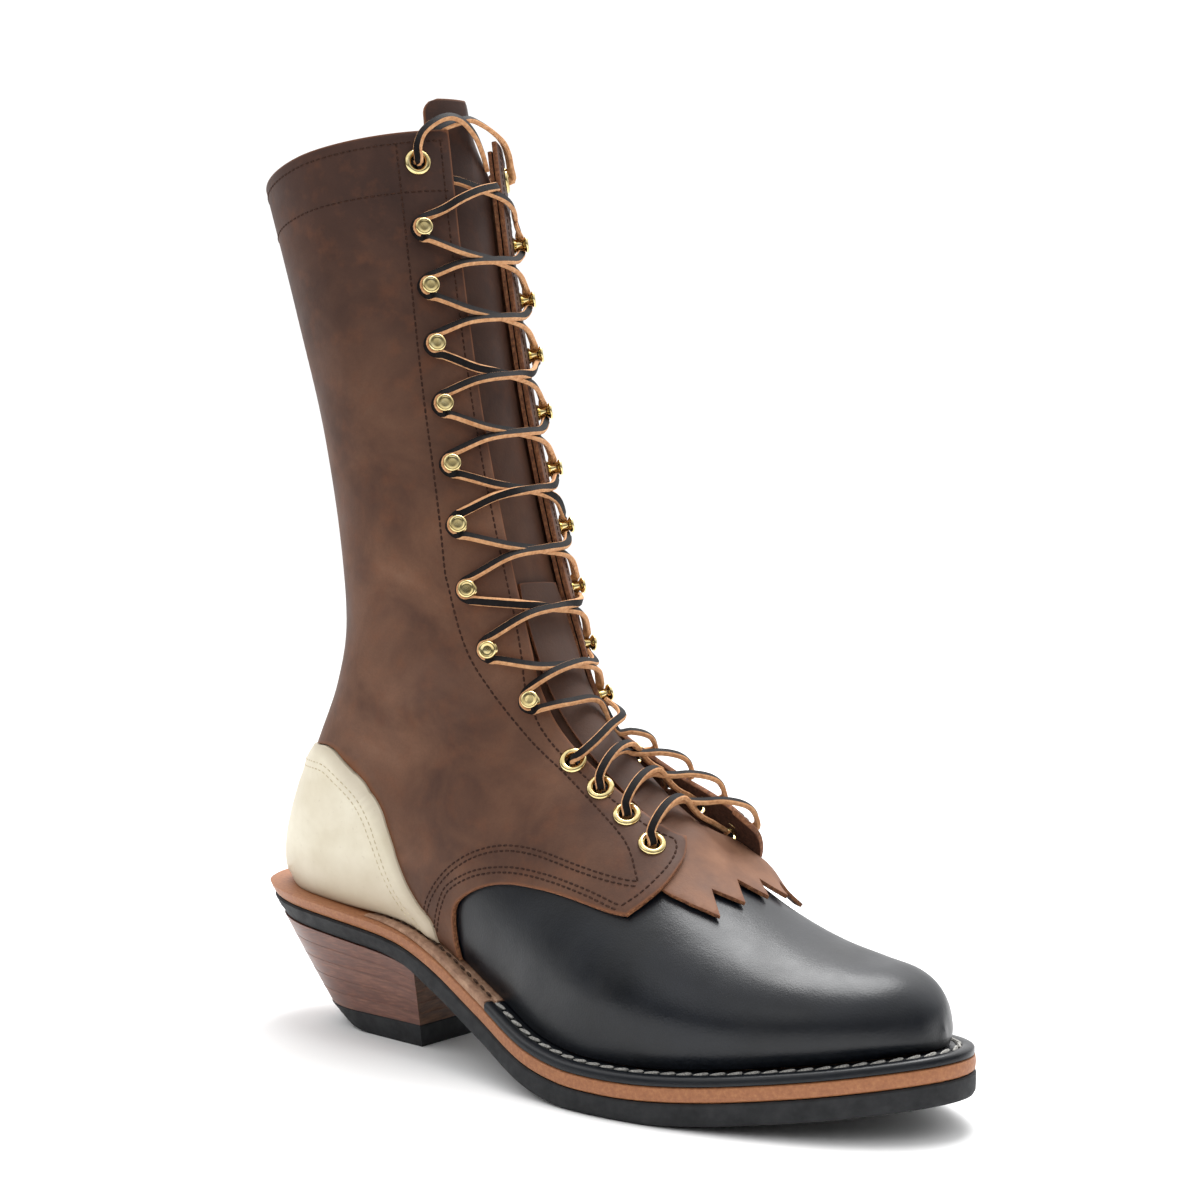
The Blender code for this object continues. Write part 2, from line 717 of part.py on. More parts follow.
def kiltie():
    """Fringed flap that lies on the vamp and runs up between the facings."""
    columns = 2 * FRINGE_TEETH
    rises = [0.0, 0.04, 0.075, 0.092, 0.12, 0.15, 0.18, 0.24, 0.36, 0.52, 0.7, 0.86, 1.0]
    top_row = KILTIE_BODY[-1][0]

    def grid(extra):
        points = []
        for rise in rises:
            line = []
            for column in range(columns + 1):
                share = 2.0 * column / columns - 1.0
                start = FRINGE_TIP if column % 2 else FRINGE_NOTCH
                row = start + rise * (top_row - start)
                half, out = follow(KILTIE_BODY, row)
                side = -1 if share < 0.0 else 1
                turn = turn_at(row, side, abs(share) * half)
                line.append(skin(row, turn, side, out + extra) + np.array([0.0, 0.0, CLEAR]))
            points.append(line)
        return points

    return slab("kiltie", [(grid(0.0), grid(KILTIE_THICK))], BROWN_LEATHER)


def outward(row, turn, side, out):
    """A point over the quarter and the direction it faces."""
    point = skin(row, turn, side, out) + np.array([0.0, 0.0, CLEAR])
    normal = skin(row, turn, side, out + 1.0) + np.array([0.0, 0.0, CLEAR]) - point
    return point, normal


def turned(name, point, normal, profile, count, material):
    """Solid turned about an axis: radius and height for each ring."""
    across = np.cross(normal, [0.0, 0.0, 1.0])
    across /= np.linalg.norm(across)
    up = np.cross(across, normal)
    rings = []
    for radius, height in profile:
        angles = np.linspace(0.0, 2.0 * math.pi, count, endpoint=False)
        rings.append(
            [point + height * normal + radius * (math.cos(a) * across + math.sin(a) * up) for a in angles]
        )
    return place(name, bar_mesh(name, rings), material)


def eyelet(name, point, normal):
    """Rolled brass ring."""
    middle = 0.5 * (EYELET_RADIUS + EYELET_BORE)
    bpy.ops.mesh.primitive_torus_add(
        major_segments=9,
        minor_segments=5,
        major_radius=middle * MM,
        minor_radius=(EYELET_RADIUS - middle) * MM,
    )
    ring = bpy.context.object
    ring.name = name
    ring.data.name = name
    ring.scale = (1.0, 1.0, 0.5)
    ring.rotation_mode = "QUATERNION"
    ring.rotation_quaternion = Vector(normal).to_track_quat("Z", "Y")
    ring.location = Vector((point + 0.6 * normal) * MM)
    for holder in list(ring.users_collection):
        holder.objects.unlink(ring)
    boot.objects.link(ring)
    ring.data.materials.append(BRASS)
    return ring


def lace_levels():
    """Where the lace turns back at each level, low to high: row and distance from the middle."""
    levels = [(row, away - EYELET_RADIUS - 1.2) for row, away in EYELETS[:-1]]
    for row, turn in HOOKS:
        away = abs(skin(row, turn, -1, FITTING)[1])
        levels.append((row, away - HOOK_PROFILE[0][0] - 1.6))
    return levels


def lace():
    """Crossed runs of the lace up the front, joined where they cross and where they turn back."""
    levels = lace_levels()
    rest = FITTING + 0.5 * LACE_THICK + 0.45
    mesh = bpy.data.meshes.new("lace")
    sheet = bmesh.new()
    corners = {}

    def spot(row, side, away):
        """Place over the facings and the tongue, and half a lace's width up the front from it."""
        here, low, high = (
            skin(at, turn_at(at, side, away), side, rest) for at in (row, row - 0.1, row + 0.1)
        )
        return here, 0.6 * LACE_WIDTH * (high - low) / np.linalg.norm(high - low)

    def face(*points):
        ring = []
        for point in points:
            key = tuple(np.round(point, 3))
            if key not in corners:
                corners[key] = sheet.verts.new((point + np.array([0.0, 0.0, CLEAR])) * MM)
            ring.append(corners[key])
        sheet.faces.new(ring)

    joints = {}
    for number, (row, away) in enumerate(levels):
        for side in (-1, 1):
            edge, along = spot(row, side, away)
            inner = spot(row, side, away - 3.4)[0]
            joints[number, side] = (edge - along, edge + along, inner)
            face(*joints[number, side])
    for number, ((low, low_away), (high, high_away)) in enumerate(zip(levels, levels[1:])):
        row = 0.5 * (low + high)
        middle, along = spot(row, 1, 0.0)
        across = np.array([0.0, 0.85 * LACE_WIDTH, 0.0])
        face(middle - along, middle + across, middle + along, middle - across)
        for side in (-1, 1):
            tip = middle + side * across
            edge_low, edge_high, inner = joints[number, side]
            bend = min(16.0, low_away - 5.5)
            knee, lift = spot(row + (low - row) * bend / low_away, side, bend)
            face(inner, edge_high, knee + lift, knee - lift)
            face(knee - lift, knee + lift, tip, middle - along)
            edge_low, edge_high, inner = joints[number + 1, side]
            bend = min(16.0, high_away - 5.5)
            knee, lift = spot(row + (high - row) * bend / high_away, side, bend)
            face(edge_low, inner, knee + lift, knee - lift)
            face(knee - lift, knee + lift, middle + along, tip)
    bmesh.ops.recalc_face_normals(sheet, faces=sheet.faces)
    sheet.to_mesh(mesh)
    sheet.free()
    part = place("lace", mesh, LACE_LEATHER)
    wall = part.modifiers.new("thickness", "SOLIDIFY")
    wall.thickness = LACE_THICK * MM
    wall.offset = 0.0
    return part


def cord(name, points):
    """Round run of lace through points."""
    curve = bpy.data.curves.new(name, "CURVE")
    curve.dimensions = "3D"
    curve.bevel_depth = 0.5 * LACE_CORD * MM
    curve.bevel_resolution = 2
    curve.use_fill_caps = True
    spline = curve.splines.new("POLY")
    spline.points.add(len(points) - 1)
    for knot, point in zip(spline.points, points):
        knot.co = (*[value * MM for value in point], 1.0)
    part = bpy.data.objects.new(name, curve)
    curve.materials.append(LACE_LEATHER)
    boot.objects.link(part)
    return part


# How far eyelets and hooks stand off the last, on the quarters
FITTING = 2.6 * CLEAR + QUARTER_THICK


def from_eyelet(side, points):
    """Run of a lace end that comes straight out of a collar eyelet."""
    row, away = EYELETS[-1]
    mouth, normal = outward(row, turn_at(row, side, away), side, FITTING)
    return [mouth, mouth + LACE_MOUTH * normal] + points


tongue()
kiltie()
for side, label in ((-1, "lateral"), (1, "medial")):
    for number, (row, away) in enumerate(EYELETS, 1):
        eyelet("eyelet_%s_%d" % (label, number), *outward(row, turn_at(row, side, away), side, FITTING))
    for number, (row, turn) in enumerate(HOOKS, 1):
        spot = outward(row, turn, side, FITTING)
        turned("hook_%s_%d" % (label, number), *spot, HOOK_PROFILE, 6, BRASS)
lace()
cord("lace_end_lateral", from_eyelet(-1, LACE_END_LATERAL))
cord("lace_end_medial", from_eyelet(1, LACE_END_MEDIAL))
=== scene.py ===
import math

import bpy
import numpy as np
from mathutils import Matrix, Vector, geometry


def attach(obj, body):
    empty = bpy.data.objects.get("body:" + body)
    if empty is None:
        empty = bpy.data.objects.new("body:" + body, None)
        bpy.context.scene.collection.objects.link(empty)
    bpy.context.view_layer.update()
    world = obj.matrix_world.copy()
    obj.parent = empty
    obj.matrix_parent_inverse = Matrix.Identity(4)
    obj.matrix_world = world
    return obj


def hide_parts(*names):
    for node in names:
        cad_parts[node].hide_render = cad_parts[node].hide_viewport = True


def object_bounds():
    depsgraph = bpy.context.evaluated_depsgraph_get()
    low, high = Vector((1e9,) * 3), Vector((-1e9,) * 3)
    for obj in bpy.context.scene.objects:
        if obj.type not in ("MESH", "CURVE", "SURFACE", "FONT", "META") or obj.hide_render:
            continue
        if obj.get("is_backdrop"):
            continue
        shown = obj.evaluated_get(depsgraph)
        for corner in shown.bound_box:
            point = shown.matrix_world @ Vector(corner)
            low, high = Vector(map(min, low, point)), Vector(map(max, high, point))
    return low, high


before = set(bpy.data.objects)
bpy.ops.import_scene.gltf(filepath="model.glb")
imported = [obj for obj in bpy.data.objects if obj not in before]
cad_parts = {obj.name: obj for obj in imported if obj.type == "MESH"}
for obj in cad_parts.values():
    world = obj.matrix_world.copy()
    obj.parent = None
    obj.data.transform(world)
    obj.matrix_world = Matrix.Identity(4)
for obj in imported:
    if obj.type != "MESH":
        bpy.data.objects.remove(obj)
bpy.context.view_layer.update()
bpy.ops.object.select_all(action="DESELECT")

# Camera: at the photograph's angle, low down and off the toe, on the boot's lateral side.
# Its lens comes from its focal length in pixels of a frame 1200 pixels wide.
FOCAL_PIXELS, FRAME_PIXELS, SENSOR = 2017.258, 1200.0, 36.0
CAMERA_PLACE = (0.56165, -0.59741, 0.1981)
CAMERA_YAW, CAMERA_PITCH = 0.664, 0.03085

bpy.ops.object.camera_add(
    location=CAMERA_PLACE,
    rotation=(0.5 * math.pi - CAMERA_PITCH, 0.0, CAMERA_YAW),
)
camera = bpy.context.object
camera.data.sensor_width = SENSOR
camera.data.lens = SENSOR * FOCAL_PIXELS / FRAME_PIXELS
camera.data.clip_start = 0.01
bpy.context.scene.camera = camera
bpy.context.scene.view_settings.view_transform = "Standard"


# Upper: the black vamp leather pulled over the last, with a tan lining inside it up to the collar.
# The last's sections are the ones the solids are made with, so that every layer of leather lies on
# the same surface: a row for each section, a turn from the welt or the back up to the front.
MM = 0.001
CLEAR = 0.3
WALL = 1.6
WELT_THICK = 3.4
SOLE_PLAN = [  # x, lateral edge y, medial edge y
    (-66.0, 0.0, 0.0),
    (-63.5, -15.0, 14.5),
    (-55.0, -27.0, 26.0),
    (-38.0, -35.0, 33.5),
    (-14.0, -37.5, 35.0),
    (14.0, -38.0, 34.0),
    (44.0, -41.0, 31.5),
    (74.0, -47.5, 32.5),
    (102.0, -56.0, 38.5),
    (130.0, -60.0, 45.0),
    (156.0, -58.5, 47.0),
    (180.0, -53.0, 45.0),
    (203.0, -45.0, 40.0),
    (222.0, -36.0, 31.5),
    (237.0, -25.0, 21.0),
    (246.5, -13.5, 10.5),
    (250.0, -1.0, -1.0),
]
SEAT_PROFILE = [  # x, z of the midsole's top
    (-70.0, 58.5),
    (-40.0, 55.5),
    (0.0, 51.0),
    (25.0, 47.0),
    (45.0, 40.0),
    (70.0, 29.0),
    (100.0, 17.6),
    (120.0, 13.7),
    (138.0, 13.0),
    (152.0, 13.2),
    (166.0, 14.1),
    (180.0, 15.5),
    (195.0, 17.5),
    (212.0, 20.0),
    (228.0, 22.6),
    (243.0, 24.9),
    (256.0, 26.6),
]
# How far the upper stands in from the sole's edge, and how thick the welt is under it: x, size
FEATHER_INSET = [(-66.0, 13.5), (-40.0, 10.5), (0.0, 9.5), (60.0, 9.0), (252.0, 9.0)]
WELT_RISE = [(-70.0, 0.0), (-12.0, 0.0), (30.0, 2.4), (70.0, WELT_THICK), (256.0, WELT_THICK)]
# Lower x, lift above the welt, upper x, upper z, lateral y, medial y, ridge y, widest, powers
LAST_ROWS = [
    (241.0, 0.0, 241.0, 33.5, -1.0, -1.0, -1.0, 0.30, 2.0, 2.0),
    (239.0, 0.0, 238.4, 42.0, -11.5, 8.5, -0.8, 0.30, 2.0, 2.1),
    (233.5, 0.0, 232.5, 48.4, -20.5, 16.5, -0.5, 0.30, 2.0, 2.2),
    (224.5, 0.0, 223.5, 52.4, -28.5, 23.5, 0.0, 0.30, 2.0, 2.2),
    (210.0, 0.0, 209.0, 54.4, -36.5, 30.5, 0.4, 0.30, 2.0, 2.2),
    (190.0, 0.0, 190.0, 58.5, -44.0, 36.0, 0.8, 0.28, 2.0, 2.1),
    (168.0, 0.0, 170.0, 66.5, -50.5, 39.5, 1.0, 0.28, 2.0, 2.0),
    (146.0, 0.0, 153.0, 77.0, -53.5, 40.5, 1.0, 0.28, 2.0, 1.9),
    (122.0, 0.0, 140.0, 88.0, -52.5, 39.0, 0.5, 0.28, 2.0, 1.8),
    (96.0, 0.0, 129.0, 98.0, -48.0, 36.0, 0.0, 0.30, 2.0, 1.8),
    (68.0, 0.0, 118.0, 108.0, -42.0, 32.5, 0.0, 0.32, 2.0, 1.8),
    (38.0, 0.0, 107.5, 117.5, -38.0, 32.0, 0.0, 0.34, 2.0, 1.85),
    (6.0, 0.0, 98.5, 126.0, -35.5, 32.0, 0.0, 0.36, 2.0, 1.95),
    (-24.0, 0.0, 91.0, 134.0, -34.0, 32.2, 0.0, 0.38, 2.2, 2.1),
    (-42.0, 0.0, 85.0, 141.0, -33.5, 32.6, 0.0, 0.40, 2.6, 2.3),
    (-52.5, 0.0, 79.8, 148.0, -33.4, 33.0, 0.0, 0.42, 2.9, 2.5),
    (-54.3, 12.0, 75.4, 155.5, -34.6, 34.6, 0.0, 0.43, 2.7, 2.75),
    (-49.5, 31.0, 71.0, 164.5, -36.2, 36.2, 0.0, 0.44, 2.3, 2.9),
    (-39.8, 53.0, 67.0, 175.0, -37.5, 37.5, 0.0, 0.45, 2.0, 2.85),
    (-27.0, 77.0, 63.2, 187.5, -38.4, 38.4, 0.0, 0.46, 2.0, 2.6),
    (-19.6, 104.0, 59.4, 202.0, -39.2, 39.2, 0.0, 0.47, 2.0, 2.3),
    (-21.4, 138.0, 54.6, 223.0, -40.6, 40.6, 0.0, 0.48, 2.0, 2.0),
    (-28.6, 179.0, 48.0, 253.0, -43.0, 43.0, 0.0, 0.49, 2.0, 1.8),
    (-44.6, 231.0, 39.9, 299.0, -45.4, 45.4, 0.0, 0.50, 2.0, 1.7),
    (-60.3, 274.6, 32.0, 352.5, -47.4, 47.4, 0.0, 0.50, 2.0, 1.7),
]
HEEL_ROW, THROAT_ROW, COLLAR_ROW = 15.0, 7.6, 24.0
HEEL_CENTRE, LOW_SHARE, WELT_TURN, TINY = -20.0, 0.34, 0.08, 0.001
# Half width of the lacing gap: row, gap
THROAT_GAP = [(7.6, 0.0), (8.3, 12.0), (10.0, 15.0), (14.0, 15.0), (18.0, 14.5), (21.0, 14.0), (24.0, 13.0)]
LAST = [(number, *row) for number, row in enumerate(LAST_ROWS)]
PLAN_END = len(SOLE_PLAN) - 1
LATERAL, MEDIAL = -1, 1
SIDES = {"lateral": LATERAL, "medial": MEDIAL}


def follow(table, key):
    """Reads a table smoothly at key, its first column, by a cubic through its rows."""
    rows = np.array(table, dtype=float)
    keys, values = rows[:, 0], rows[:, 1:]
    order = np.arange(len(keys))
    before, after = np.maximum(order - 1, 0), np.minimum(order + 1, len(keys) - 1)
    slopes = (values[after] - values[before]) / (keys[after] - keys[before])[:, None]
    key = np.clip(np.asarray(key, dtype=float), keys[0], keys[-1])
    at = np.clip(np.searchsorted(keys, key, side="right") - 1, 0, len(keys) - 2)
    span = (keys[at + 1] - keys[at])[..., None]
    part = (key - keys[at])[..., None] / span
    square, cube = part**2, part**3
    result = (
        (2 * cube - 3 * square + 1) * values[at]
        + (cube - 2 * square + part) * slopes[at] * span
        + (3 * square - 2 * cube) * values[at + 1]
        + (cube - square) * slopes[at + 1] * span
    )
    return result[..., 0] if values.shape[1] == 1 else result


LATERAL_EDGE = [(x, edge) for x, edge, _ in SOLE_PLAN]
MEDIAL_EDGE = [(x, edge) for x, _, edge in SOLE_PLAN[1:-1]]
PLAN_LOOP = LATERAL_EDGE + MEDIAL_EDGE[::-1]
LOOP = [(at, *PLAN_LOOP[at % len(PLAN_LOOP)]) for at in range(-2, len(PLAN_LOOP) + 3)]


def sole_edge(station, side, inset=0.0):
    """Points of the sole's plan, moved in from its edge, by station from heel to toe."""
    station = np.asarray(station, dtype=float)
    key = station if side < 0 else 2.0 * PLAN_END - station
    along = follow(LOOP, key + 0.05) - follow(LOOP, key - 0.05)
    along /= np.linalg.norm(along, axis=-1, keepdims=True)
    across = np.stack([-along[..., 1], along[..., 0]], axis=-1)
    return follow(LOOP, key) + np.asarray(inset)[..., None] * across


def seat_z(x):
    return follow(SEAT_PROFILE, x)


def feather_z(x):
    return seat_z(x) + follow(WELT_RISE, x)


FEATHER = {}
for side in SIDES.values():
    steps = np.linspace(0.0, PLAN_END, 240)
    FEATHER[side] = sole_edge(steps, side, follow(FEATHER_INSET, sole_edge(steps, side)[:, 0]))


def feather_y(x, side):
    return np.interp(x, FEATHER[side][:, 0], FEATHER[side][:, 1])


def last_point(row, turn, side):
    """Points of the last's own surface."""
    low_x, lift, top_x, top_z, lateral, medial, ridge, wide, low, top = np.moveaxis(follow(LAST, row), -1, 0)
    low_z = feather_z(low_x) + np.maximum(lift, 0.0)
    half = ridge - lateral if side < 0 else medial - ridge
    foot = np.where(row < HEEL_ROW, np.maximum(side * (feather_y(low_x, side) - ridge), 0.0), 0.0)
    half = np.maximum(np.maximum(half, 1.002 * foot), TINY)
    reach = wide / (1.0 - (foot / half) ** low) ** (1.0 / low)
    widest = np.arcsin(np.minimum((wide / reach) ** (low / 2.0), 1.0))
    under = widest * (1.0 - np.minimum(turn, LOW_SHARE) / LOW_SHARE)
    over = 0.5 * math.pi * np.clip((turn - LOW_SHARE) / (1.0 - LOW_SHARE), 0.0, 1.0)
    along = np.where(
        turn < LOW_SHARE,
        wide - reach * np.sin(under) ** (2.0 / low),
        wide + (1.0 - wide) * np.sin(over) ** (2.0 / top),
    )
    out = np.where(
        turn < LOW_SHARE,
        half * np.cos(under) ** (2.0 / low),
        half * np.maximum(np.cos(over), 0.0) ** (2.0 / top),
    )
    x, z = low_x + along * (top_x - low_x), low_z + along * (top_z - low_z)
    return np.stack([x, ridge + side * out, z], axis=-1)


def last_normal(row, turn, side):
    """Directions that the last's surface faces."""
    row_low, row_high = np.maximum(row - 0.05, 0.0), np.minimum(row + 0.05, COLLAR_ROW)
    turn_low, turn_high = np.maximum(turn - 0.01, 0.0), np.minimum(turn + 0.01, 1.0)
    along_row = last_point(row_high, turn, side) - last_point(row_low, turn, side)
    along_turn = last_point(row, turn_high, side) - last_point(row, turn_low, side)
    normal = np.cross(along_row, along_turn) * side
    return normal / np.maximum(np.linalg.norm(normal, axis=-1, keepdims=True), 1e-9)


def skin(row, turn, side, out=0.0):
    """Points a height off the last, in mm: along its normal, or straight out by the welt and the heel."""
    row, turn = np.broadcast_arrays(np.asarray(row, dtype=float), np.asarray(turn, dtype=float))
    beyond = np.maximum(row - COLLAR_ROW, 0.0)
    row = np.minimum(row, COLLAR_ROW)
    here, normal = last_point(row, turn, side), last_normal(row, turn, side)
    ridge = follow(LAST, row)[..., 6]
    middle = np.abs(here[..., 1] - ridge) < 2.0 * TINY
    both = (normal + last_normal(row, turn, -side)) * [1.0, 0.0, 1.0]
    normal = np.where(middle[..., None], both, normal)
    here[..., 1] = np.where(middle, ridge, here[..., 1])
    normal[..., 2] *= np.clip(np.maximum(turn / WELT_TURN, row - HEEL_ROW), 0.0, 1.0)
    heel = np.clip(2.0 - 2.0 * np.maximum(turn / 0.25, np.abs(row - HEEL_ROW) / 2.0), 0.0, 1.0)[..., None]
    around = (here - [HEEL_CENTRE, 0.0, 0.0]) * [1.0, 1.0, 0.0]
    around /= np.linalg.norm(around, axis=-1, keepdims=True)
    normal = (1.0 - heel) * normal + heel * around
    normal /= np.linalg.norm(normal, axis=-1, keepdims=True)
    collar = np.full_like(row, COLLAR_ROW)
    rise = last_point(collar, turn, side) - last_point(collar - 0.1, turn, side)
    here = here + 10.0 * beyond[..., None] * rise
    points = here + np.asarray(out)[..., None] * normal
    points[..., 2] = np.maximum(points[..., 2] + CLEAR, feather_z(points[..., 0]) + 1.8 * CLEAR)
    return points


def turn_at(row, side, away):
    """Turn of the points that lie a distance from the middle, on the upper part of their sections."""
    cut = follow(LAST, np.minimum(row, COLLAR_ROW))
    half = cut[..., 6] - cut[..., 4] if side < 0 else cut[..., 5] - cut[..., 6]
    angle = np.arccos(np.clip(np.abs(away) / half, 0.0, 1.0) ** (cut[..., 9] / 2.0))
    return LOW_SHARE + (1.0 - LOW_SHARE) * angle / (0.5 * math.pi)


def face_turn(row, side):
    """Turn of the facing's edge, half the lacing gap from the middle."""
    row = np.asarray(row, dtype=float)
    return np.where(row > THROAT_ROW, turn_at(row, side, follow(THROAT_GAP, row)), 1.0)


def srgb(red, green, blue):
    """Linear colour of a colour as seen on a screen, 0 to 255."""
    values = np.array([red, green, blue]) / 255.0
    return (*np.where(values < 0.04045, values / 12.92, ((values + 0.055) / 1.055) ** 2.4), 1.0)


class Finish:
    """A procedural material, built node by node on the piece's own coordinates."""

    def __init__(self, name, roughness=0.5, metallic=0.0, shine=0.5):
        self.material = bpy.data.materials.new(name)
        self.material.use_nodes = True
        self.nodes, self.links = self.material.node_tree.nodes, self.material.node_tree.links
        self.shader = self.nodes["Principled BSDF"]
        self.shader.inputs["Roughness"].default_value = roughness
        self.shader.inputs["Metallic"].default_value = metallic
        self.shader.inputs["Specular IOR Level"].default_value = shine
        self.place = self.nodes.new("ShaderNodeTexCoord").outputs["Object"]
        self.bumps = None

    def stretched(self, scale):
        """Coordinates drawn out along an axis."""
        node = self.nodes.new("ShaderNodeMapping")
        node.inputs["Scale"].default_value = scale
        self.links.new(self.place, node.inputs["Vector"])
        return node.outputs["Vector"]

    def noise(self, size, detail=4.0, roughness=0.55, vector=None, distortion=0.0):
        """Cloudy pattern with lumps of a size in mm."""
        node = self.nodes.new("ShaderNodeTexNoise")
        node.inputs["Scale"].default_value = 1.0 / (size * MM)
        node.inputs["Detail"].default_value = detail
        node.inputs["Roughness"].default_value = roughness
        node.inputs["Distortion"].default_value = distortion
        self.links.new(vector or self.place, node.inputs["Vector"])
        return node.outputs["Fac"]

    def cells(self, size):
        """Pebbled pattern with cells of a size in mm."""
        node = self.nodes.new("ShaderNodeTexVoronoi")
        node.inputs["Scale"].default_value = 1.0 / (size * MM)
        self.links.new(self.place, node.inputs["Vector"])
        return node.outputs["Distance"]

    def ramp(self, value, stops):
        """Colours by value: a list of value and colour."""
        node = self.nodes.new("ShaderNodeValToRGB")
        bands = node.color_ramp.elements
        while len(bands) < len(stops):
            bands.new(1.0)
        for band, (at, colour) in zip(bands, stops):
            band.position, band.color = at, colour
        self.links.new(value, node.inputs["Fac"])
        return node.outputs["Color"]

    def range(self, value, low, high, to_low, to_high):
        """A value carried over from one range to another."""
        node = self.nodes.new("ShaderNodeMapRange")
        for name, number in zip(("From Min", "From Max", "To Min", "To Max"), (low, high, to_low, to_high)):
            node.inputs[name].default_value = number
        self.links.new(value, node.inputs["Value"])
        return node.outputs["Result"]

    def mix(self, factor, first, second):
        """Two colours laid over each other."""
        node = self.nodes.new("ShaderNodeMix")
        node.data_type = "RGBA"
        for name, value in (("Factor", factor), ("A", first), ("B", second)):
            socket = next(s for s in node.inputs if s.name == name and s.enabled)
            if isinstance(value, (float, tuple)):
                socket.default_value = value
            else:
                self.links.new(value, socket)
        return next(s for s in node.outputs if s.enabled)

    def attribute(self, name):
        """A value kept at the mesh's points."""
        node = self.nodes.new("ShaderNodeAttribute")
        node.attribute_name = name
        return node.outputs["Fac"]

    def axis(self, name):
        """One coordinate, in metres: X towards the toe, Y towards the medial side, Z up."""
        node = self.nodes.new("ShaderNodeSeparateXYZ")
        self.links.new(self.place, node.inputs["Vector"])
        return node.outputs[name]

    def colour(self, value):
        self.links.new(value, self.shader.inputs["Base Color"])

    def roughness(self, value):
        self.links.new(value, self.shader.inputs["Roughness"])

    def bump(self, value, depth, strength=1.0):
        """Relief of a depth in mm, laid over the relief so far."""
        node = self.nodes.new("ShaderNodeBump")
        node.inputs["Distance"].default_value = depth * MM
        node.inputs["Strength"].default_value = strength
        self.links.new(value, node.inputs["Height"])
        if self.bumps:
            self.links.new(self.bumps, node.inputs["Normal"])
        self.bumps = node.outputs["Normal"]
        self.links.new(self.bumps, self.shader.inputs["Normal"])


def black_leather():
    """Smooth black oiled leather with a fine grain and a soft shine."""
    leather = Finish("black_oiled_leather", shine=0.36)
    cloud = leather.noise(26.0, 3.0)
    leather.colour(leather.ramp(cloud, [(0.3, srgb(7, 10, 15)), (0.7, srgb(14, 18, 25))]))
    leather.roughness(leather.range(leather.noise(14.0, 5.0), 0.3, 0.7, 0.28, 0.40))
    leather.bump(leather.cells(0.75), 0.05, 0.5)
    leather.bump(leather.noise(2.2, 4.0), 0.08, 0.5)
    leather.bump(leather.noise(18.0, 2.0), 0.5, 0.4)
    return leather.material


def tan_edge():
    """Raw cut edge of veg-tanned leather: orange tan, fibrous, darker in places."""
    edge = Finish("raw_tan_edge", 0.75)
    fibres = edge.noise(1.4, 5.0, 0.65)
    edge.colour(
        edge.ramp(fibres, [(0.3, srgb(76, 44, 27)), (0.52, srgb(122, 76, 46)), (0.75, srgb(170, 118, 77))])
    )
    edge.bump(edge.noise(0.7, 3.0), 0.25, 0.7)
    return edge.material


def lining_leather():
    """Natural lining, pale tan, mottled."""
    lining = Finish("lining_leather", 0.65)
    cloud = lining.noise(30.0, 5.0)
    lining.colour(
        lining.ramp(cloud, [(0.3, srgb(142, 98, 68)), (0.6, srgb(176, 128, 92)), (0.8, srgb(190, 146, 110))])
    )
    lining.bump(lining.noise(0.9, 3.0), 0.12, 0.5)
    return lining.material


BLACK_LEATHER, RAW_EDGE, LINING = black_leather(), tan_edge(), lining_leather()


def leather_mesh(name, points, faces, slots, materials, bevel=0.0, attributes=None):
    """A finished piece of leather from its points in mm, with its cut edges rounded by a bevel."""
    mesh = bpy.data.meshes.new(name)
    mesh.from_pydata((np.asarray(points) * MM).tolist(), [], [list(map(int, face)) for face in faces])
    for material in materials:
        mesh.materials.append(material)
    mesh.polygons.foreach_set("material_index", np.asarray(slots, dtype=np.int32))
    for key, values in (attributes or {}).items():
        layer = mesh.attributes.new(key, "FLOAT", "POINT")
        layer.data.foreach_set("value", np.asarray(values, dtype=np.float32))
    piece = bpy.data.objects.new(name, mesh)
    bpy.context.collection.objects.link(piece)
    bpy.ops.object.select_all(action="DESELECT")
    bpy.context.view_layer.objects.active = piece
    piece.select_set(True)
    bpy.ops.object.mode_set(mode="EDIT")
    bpy.ops.mesh.select_all(action="SELECT")
    bpy.ops.mesh.remove_doubles(threshold=0.00002)
    bpy.ops.mesh.normals_make_consistent(inside=False)
    bpy.ops.object.mode_set(mode="OBJECT")
    if bevel:
        rounding = piece.modifiers.new("rounded_edge", "BEVEL")
        rounding.width, rounding.segments = bevel * MM, 2
        rounding.limit_method, rounding.angle_limit = "ANGLE", math.radians(50.0)
        bpy.ops.object.modifier_apply(modifier=rounding.name)
    bpy.ops.object.shade_smooth_by_angle(angle=math.radians(40.0))
    piece.select_set(False)
    return piece


def fit(piece, slot, *nodes):
    """The piece rides on the boot and stands for these solids, which it hides. slot is not used."""
    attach(piece, "root")
    if nodes:
        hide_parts(*nodes)
    return piece


def spread(first, last, spacing):
    """Even steps of about a spacing, ends included."""
    return np.linspace(first, last, max(int(round(abs(last - first) / spacing)), 1) + 1)


# Row steps that keep about 2 mm between neighbouring points all over the last: first, last, count
ROW_SPANS = [
    (0.0, 1.0, 8),
    (1.0, 4.0, 26),
    (4.0, 9.4, 62),
    (9.4, 15.0, 84),
    (15.0, 20.0, 62),
    (20.0, 24.0, 92),
]
ROW_CLEAR = 0.004


def last_rows(first, last):
    """Rows from one to another in those steps, both included."""
    spans = [np.linspace(low, high, count, endpoint=False) for low, high, count in ROW_SPANS]
    rows = np.concatenate([*spans, [COLLAR_ROW]])
    inner = rows[(rows > first + ROW_CLEAR) & (rows < last - ROW_CLEAR)]
    return np.concatenate([[first], inner, [last]])


